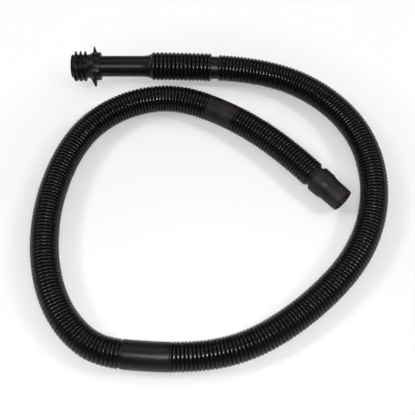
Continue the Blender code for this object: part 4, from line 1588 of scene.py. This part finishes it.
@dataclass
class Coupling:
    """Threaded swivel coupling with its lugs, webs, ribs, seal and lock ring."""

    leader: Leader
    thread: ThreadShape = ThreadShape()
    far_lug: LugShape = LugShape(reach=0.0290, thickness=0.0018, offset=0.0003, web_length=0.0032,
                                 web_start=0.3)
    near_lug: LugShape = LugShape(reach=0.0300, thickness=0.0026, offset=0.0020, web_length=0.0064,
                                  web_start=0.5)
    rib: GripRib = GripRib()
    roll: float = math.radians(27.0)
    nose_length: float = 0.0040
    nose_radius: float = 0.0169
    nose_step: float = 0.0010
    nose_round: float = 0.0020
    mouth_ease: float = 0.0006
    flare_length: float = 0.0065
    flare_foot_ease: float = 0.0020
    flare_ease: float = 0.0025
    collar_wall: float = 0.00245
    collar_ease: float = 0.0008
    chamber_ease: float = 0.0005
    seat_share: float = 0.4
    foot_sink: float = 0.0007
    far_web_sink: float = 0.0005
    near_web_waist: tuple[float, float] = (0.44, 0.60)
    near_web_heel: float = 0.55
    near_web_steps: int = 6
    edge: float = 0.0004
    edge_steps: int = 3
    crease: float = math.radians(34.0)

    @property
    def axis(self) -> Matrix:
        """Frame at the nose with local Z along the coupling and local X to the far lug."""
        return axis_frame(self.leader.nose, Vector((1.0, 0.0, 0.0)), self.roll)

    @property
    def length(self) -> float:
        """Way from the nose to the end of the collar."""
        return self.leader.coupling_length

    @property
    def thread_end(self) -> float:
        """Way from the nose to the flare."""
        return self.nose_length + self.thread.length

    @property
    def flare_end(self) -> float:
        """Way from the nose to the collar."""
        return self.thread_end + self.flare_length

    @property
    def shoulder(self) -> float:
        """Way from the nose to the bottom of the chamber in the collar."""
        return self.length - SWIVEL.chamber_depth(self.leader.flange_thickness)

    @property
    def chamber_radius(self) -> float:
        """Inside of the collar."""
        return self.leader.flange_radius + FIT

    @property
    def collar_radius(self) -> float:
        """Outside of the collar."""
        return self.chamber_radius + self.collar_wall

    @property
    def seat(self) -> float:
        """Radius inside the collar's wall at which lugs and ribs are rooted."""
        return self.chamber_radius + self.seat_share * self.collar_wall

    @property
    def foot(self) -> float:
        """Radius under the thread's root at which the near web and the ribs are rooted."""
        return self.thread.root - self.foot_sink

    def build(self, tool: ThreadTool) -> None:
        """Make the shell, the seal and the lock ring.

        Args:
            tool: Tree that winds the thread.
        """
        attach(self._shell(tool), Body.COUPLING.value)
        leader = self.leader
        low = self.shoulder + FIT
        radii = (leader.tube_bore + SWIVEL.seal_step, leader.flange_radius)
        seal = plain_ring("coupling_face_seal", self.axis, radii, (low, low + SWIVEL.seal_thickness))
        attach(dressed(seal, SEAL_RUBBER, "coupling_seal"), Body.COUPLING.value)
        high = self.length - FIT
        radii = (leader.tube_radius + FIT, leader.flange_radius)
        lock = plain_ring("coupling_lock_ring", self.axis, radii, (high - SWIVEL.retainer_length, high))
        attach(dressed(lock, RETAINER_NYLON, "coupling_retainer"), Body.COUPLING.value)

    def _shell(self, tool: ThreadTool) -> bpy.types.Object:
        """Coupling body in one, with everything moulded on it.

        Args:
            tool: Tree that winds the thread.

        Returns:
            The piece.
        """
        bore = self.leader.tube_bore
        corners = [
            (self.collar_radius, self.length, self.collar_ease),
            (self.collar_radius, self.flare_end, self.flare_ease),
            (self.thread.root, self.thread_end, self.flare_foot_ease),
            (self.thread.root, self.nose_length, self.edge),
            (self.nose_radius, self.nose_length - self.nose_step, self.edge),
            (self.nose_radius, 0.0, self.nose_round), (bore, 0.0, self.mouth_ease),
            (bore, self.shoulder, 0.0), (self.chamber_radius, self.shoulder, 0.0),
            (self.chamber_radius, self.length, self.chamber_ease),
        ]
        blank = turned("coupling_body_blank", corners, self.axis)
        parts = [self._ridge(tool, turn) for turn in self.thread.angles]
        parts += [*self._far_lug(), *self._near_lug()]
        parts += [self._grip_rib(turn) for turn in (self.rib.angle, self.rib.angle + math.pi)]
        shell = joined("coupling_shell", blank, parts)
        smooth(shell, self.crease)
        return dressed(shell, COUPLING_SATIN, "coupling_body")

    def _ridge(self, tool: ThreadTool, turn: float) -> bpy.types.Object:
        """One thread ridge in place.

        Args:
            tool: Tree that winds it.
            turn: Angle round the nose at which it starts.

        Returns:
            The ridge.
        """
        thread = self.thread
        ridge = tool.run("thread_ridge", bpy.data.meshes.new("thread_seed"), {
            "Turns": thread.turns, "Pitch": thread.starts * thread.pitch,
            "Foot Radius": thread.root - thread.sink, "Height": thread.depth + thread.sink,
            "Base Width": thread.base, "Crest Width": thread.crest, "Crest Rounding": thread.rounding,
            "Run-out": thread.run_out, "Steps per Turn": thread.steps, "Finish": COUPLING_SATIN.material(),
        })
        place = self.axis @ Matrix.Rotation(turn, 4, "Z")
        ridge.data.transform(place @ Matrix.Translation((0.0, 0.0, thread.start)))
        turn_out(ridge.data, WELD)
        return ridge

    def _prism(self, name: str, outline: Sequence[tuple[float, float]], thickness: float,
               place: Matrix) -> bpy.types.Object:
        """Flat part with eased edges.

        Args:
            name: Name of the part.
            outline: Corners in local X and Z.
            thickness: Thickness along local Y.
            place: Frame of the part.

        Returns:
            The part.
        """
        shell = bmesh.new()
        base = [shell.verts.new((x, -0.5 * thickness, z)) for x, z in outline]
        face = shell.faces.new(base)
        raised = bmesh.ops.extrude_face_region(shell, geom=[face])["geom"]
        moved = [item for item in raised if isinstance(item, bmesh.types.BMVert)]
        bmesh.ops.translate(shell, verts=moved, vec=(0.0, thickness, 0.0))
        bmesh.ops.recalc_face_normals(shell, faces=shell.faces)
        bmesh.ops.bevel(shell, geom=list(shell.edges), offset=self.edge, segments=self.edge_steps,
                        profile=0.5, affect="EDGES", clamp_overlap=True)
        bmesh.ops.recalc_face_normals(shell, faces=shell.faces)
        mesh = bpy.data.meshes.new(name)
        shell.to_mesh(mesh)
        shell.free()
        mesh.transform(place)
        return new_piece(name, mesh)

    def _plate(self, side: Matrix, lug: LugShape, low: float) -> bpy.types.Object:
        """Plate of a lug, with sides that leave the collar at a tangent.

        Args:
            side: Frame whose local X points to the lug's tip.
            lug: Sizes of the lug.
            low: Way from the nose to its first face.

        Returns:
            The plate.
        """
        edge = self.collar_radius - lug.sink * self.collar_wall
        spread = math.acos(edge / lug.reach)
        foot = Vector((edge * math.cos(spread), edge * math.sin(spread)))
        tip = 0.5 * lug.tip_width
        corner = lug.reach - lug.tip_blunt * tip
        outline = [(foot.x, -foot.y), (corner, -tip), (lug.reach, -0.5 * tip),
                   (lug.reach, 0.5 * tip), (corner, tip), (foot.x, foot.y)]
        for step in range(lug.arc_steps + 1):
            angle = spread * (1.0 - 2.0 * step / lug.arc_steps)
            outline.append((self.seat * math.cos(angle), self.seat * math.sin(angle)))
        place = side @ Matrix.Translation((0.0, 0.0, low + 0.5 * lug.thickness))
        return self._prism("lug", outline, lug.thickness, place @ Matrix.Rotation(QUARTER_TURN, 4, "X"))

    def _far_lug(self) -> list[bpy.types.Object]:
        """Far lug: a thin plate with a web that slopes down to the collar.

        Returns:
            The plate and the web.
        """
        lug = self.far_lug
        low = self.flare_end + lug.offset
        high = low + lug.thickness
        start = low + lug.web_start * lug.thickness
        tip = lug.reach - lug.web_setback
        back = high + lug.web_length
        outline = [(self.seat, start), (tip, start), (tip, high - lug.web_inset),
                   (self.collar_radius - self.far_web_sink, back), (self.seat, back)]
        return [self._plate(self.axis, lug, low),
                self._prism("far_web", outline, lug.web_thickness, self.axis)]

    def _near_lug(self) -> list[bpy.types.Object]:
        """Near lug: a plate with a web that is drawn in towards the flare.

        Returns:
            The plate and the web.
        """
        lug = self.near_lug
        side = self.axis @ Matrix.Rotation(math.pi, 4, "Z")
        low = self.flare_end + lug.offset
        start = low + lug.web_start * lug.thickness
        tip = lug.reach - lug.web_setback
        root = self.thread.root
        waist_out, waist_back = self.near_web_waist
        top = Vector((tip, low + lug.web_inset))
        waist = Vector((root + waist_out * (tip - root), low - waist_back * lug.web_length))
        bottom = Vector((self.foot, low - lug.web_length))
        outline = [(self.seat, start), (tip, start)]
        outline += [(spot.x, spot.y) for spot in bent(top, waist, bottom, self.near_web_steps)]
        outline.append((self.seat, low - self.near_web_heel * lug.web_length))
        return [self._plate(side, lug, low), self._prism("near_web", outline, lug.web_thickness, side)]

    def _grip_rib(self, turn: float) -> bpy.types.Object:
        """Raised rib along the flare and the collar.

        Args:
            turn: Angle round the collar.

        Returns:
            The rib.
        """
        rib = self.rib
        low = self.thread_end + rib.start * self.flare_length
        high = self.length - rib.setback
        top = self.collar_radius + rib.height
        inner = self.shoulder - rib.inset
        outline = [
            (self.foot, low), (self.collar_radius, low), (top, low + rib.slope), (top, high - rib.ease),
            (self.collar_radius + rib.heel * rib.height, high), (self.seat, high),
            (self.seat, inner), (self.foot, inner - rib.taper),
        ]
        hinge = Matrix.Translation((self.collar_radius, 0.0, 0.0))
        lean = hinge @ Matrix.Rotation(rib.lean, 4, "Z") @ hinge.inverted()
        place = self.axis @ Matrix.Rotation(turn, 4, "Z") @ lean
        return self._prism("grip_rib", outline, rib.width, place)


@dataclass
class Tail:
    """Middle cuff, tail bellows, end neck and the end cuff that turns on it."""

    start: float
    middle_length: float = 0.045
    middle_radius: float = 0.0185
    middle_slope: float = 0.0012
    ribs: int = 27
    ring_steps: int = 13
    ring_drop: float = 0.0006
    straight_grip: float = 0.008
    neck_bore: float = 0.0139
    neck_wall: float = 0.0015
    neck_length: float = 0.0085
    step_length: float = 0.0012
    step_height: float = 0.0012
    step_slope: float = 0.0013
    step_ease: float = 0.0008
    flange_height: float = 0.0018
    flange_thickness: float = 0.0025
    collar_wall: float = 0.0015
    collar_length: float = 0.0205
    collar_round: float = 0.0032
    collar_slope: float = 0.0050
    slope_ease: float = 0.0040
    sleeve_length: float = 0.0272
    sleeve_radius: float = 0.0171
    sleeve_bore: float = 0.0141
    sleeve_bore_ease: float = 0.0005
    mouth_radius: float = 0.0164
    mouth_ease: float = 0.0010
    edge: float = 0.0004
    fine_ease: float = 0.0003

    @property
    def bellows_start(self) -> float:
        """Distance at which the tail bellows starts."""
        return self.start + self.middle_length

    @property
    def neck_radius(self) -> float:
        """Outside of the end neck."""
        return self.neck_bore + self.neck_wall

    @property
    def flange_radius(self) -> float:
        """Outside of the flange that the cuff turns on."""
        return self.neck_radius + self.flange_height

    @property
    def chamber_radius(self) -> float:
        """Inside of the cuff's collar."""
        return self.flange_radius + FIT

    @property
    def chamber_end(self) -> float:
        """Way from the ribs to the bottom of the chamber in the collar."""
        return self.neck_length + SWIVEL.chamber_depth(self.flange_thickness)

    def build(self, tool: RibTool, route: Route) -> None:
        """Make everything from the middle cuff to the mouth.

        Args:
            tool: Tree that makes the ribs.
            route: Line that the hose follows.
        """
        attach(self._middle_cuff(route), Body.MIDDLE.value)
        shape = RibbedLength("tail_ribs", self.ribs, ring_steps=self.ring_steps, end_drop=self.ring_drop)
        bellows = shape.build(tool, route.points(self.bellows_start, route.length, LINE_STEP))
        dressed(bellows, RIBBED_BLACK, "tail_bellows_front", "tail_bellows_rear")
        tuple(route.place(self.bellows_start + self.straight_grip))
        tuple(route.place(route.length - self.straight_grip))
        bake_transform(bellows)
        axis = axis_frame(route.place(route.length), route.direction(route.length))
        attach(self._end_neck(axis), Body.TAIL.value)
        for piece in (self._end_cuff(axis), self._seal(axis), self._lock_ring(axis)):
            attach(piece, Body.CUFF.value)

    def _middle_cuff(self, route: Route) -> bpy.types.Object:
        """Smooth matt cuff between the second run and the tail.

        Args:
            route: Line that the hose follows.

        Returns:
            The piece.
        """
        low = self.start
        high = self.bellows_start
        slope = self.middle_slope
        side = [
            (HOSE_WALL.root, low, 0.0), (self.middle_radius, low + slope, slope),
            (self.middle_radius, high - slope, slope), (HOSE_WALL.root, high, 0.0),
        ]
        piece = sleeve("middle_cuff_sleeve", route, side, HOSE_WALL.bore)
        return dressed(piece, CUFF_CHARCOAL, "middle_cuff")

    def _end_neck(self, axis: Matrix) -> bpy.types.Object:
        """Smooth neck with the flange that the end cuff turns on.

        Args:
            axis: Frame at the end of the ribs.

        Returns:
            The piece.
        """
        flange_low = self.neck_length + SWIVEL.retainer_length + 2.0 * FIT
        flange_high = flange_low + self.flange_thickness
        step_radius = self.neck_radius + self.step_height
        start = 0.5 * FIT
        corners = [
            (self.flange_radius, flange_high, self.fine_ease),
            (self.flange_radius, flange_low, self.fine_ease),
            (self.neck_radius, flange_low, self.fine_ease),
            (self.neck_radius, self.step_length + self.step_slope, self.step_ease),
            (step_radius, self.step_length, self.step_ease), (step_radius, start, 0.0),
            (self.neck_bore, start, self.fine_ease), (self.neck_bore, flange_high, self.fine_ease),
        ]
        return dressed(turned("end_neck_sleeve", corners, axis), SMOOTH_BLACK, "end_neck")

    def _end_cuff(self, axis: Matrix) -> bpy.types.Object:
        """Collar and push-on sleeve in one.

        Args:
            axis: Frame at the end of the ribs.

        Returns:
            The piece.
        """
        low = self.neck_length
        step = low + self.collar_length
        mouth = step + self.sleeve_length
        collar_radius = self.chamber_radius + self.collar_wall
        corners = [
            (self.mouth_radius, mouth, self.mouth_ease), (self.sleeve_radius, step, self.slope_ease),
            (collar_radius, step - self.collar_slope, self.slope_ease),
            (collar_radius, low, self.collar_round),
            (self.chamber_radius, low, self.edge), (self.chamber_radius, self.chamber_end, 0.0),
            (self.sleeve_bore, self.chamber_end, self.edge), (self.sleeve_bore, mouth, self.sleeve_bore_ease),
        ]
        return dressed(turned("end_cuff_shell", corners, axis), CUFF_CHARCOAL, "end_cuff")

    def _seal(self, axis: Matrix) -> bpy.types.Object:
        """Face seal at the bottom of the cuff's chamber.

        Args:
            axis: Frame at the end of the ribs.

        Returns:
            The piece.
        """
        high = self.chamber_end - FIT
        piece = plain_ring("cuff_face_seal", axis, (self.neck_bore + SWIVEL.seal_step, self.flange_radius),
                           (high - SWIVEL.seal_thickness, high))
        return dressed(piece, SEAL_RUBBER, "cuff_seal")

    def _lock_ring(self, axis: Matrix) -> bpy.types.Object:
        """Ring that keeps the cuff on its neck.

        Args:
            axis: Frame at the end of the ribs.

        Returns:
            The piece.
        """
        low = self.neck_length + FIT
        piece = plain_ring("cuff_lock_ring", axis, (self.neck_radius + FIT, self.flange_radius),
                           (low, low + SWIVEL.retainer_length))
        return dressed(piece, RETAINER_NYLON, "cuff_retainer")


def main() -> None:
    """Build the studio and the whole hose."""
    logging.basicConfig(level=logging.INFO, format="%(name)s: %(message)s")
    bpy.context.scene.view_settings.view_transform = "Standard"
    Studio().build()
    route = Route(ROUTE, ROUTE_START_ANGLE, ROUTE_END_ANGLE)
    ribs = RibTool()
    loop = HoseLoop()
    loop.build(ribs, route)
    heading = Vector((math.cos(ROUTE_START_ANGLE), math.sin(ROUTE_START_ANGLE), 0.0))
    leader = Leader(route.place(0.0), heading)
    leader.build(ribs)
    Coupling(leader).build(ThreadTool())
    Tail(loop.second_end).build(ribs, route)


if __name__ == "__main__":
    main()
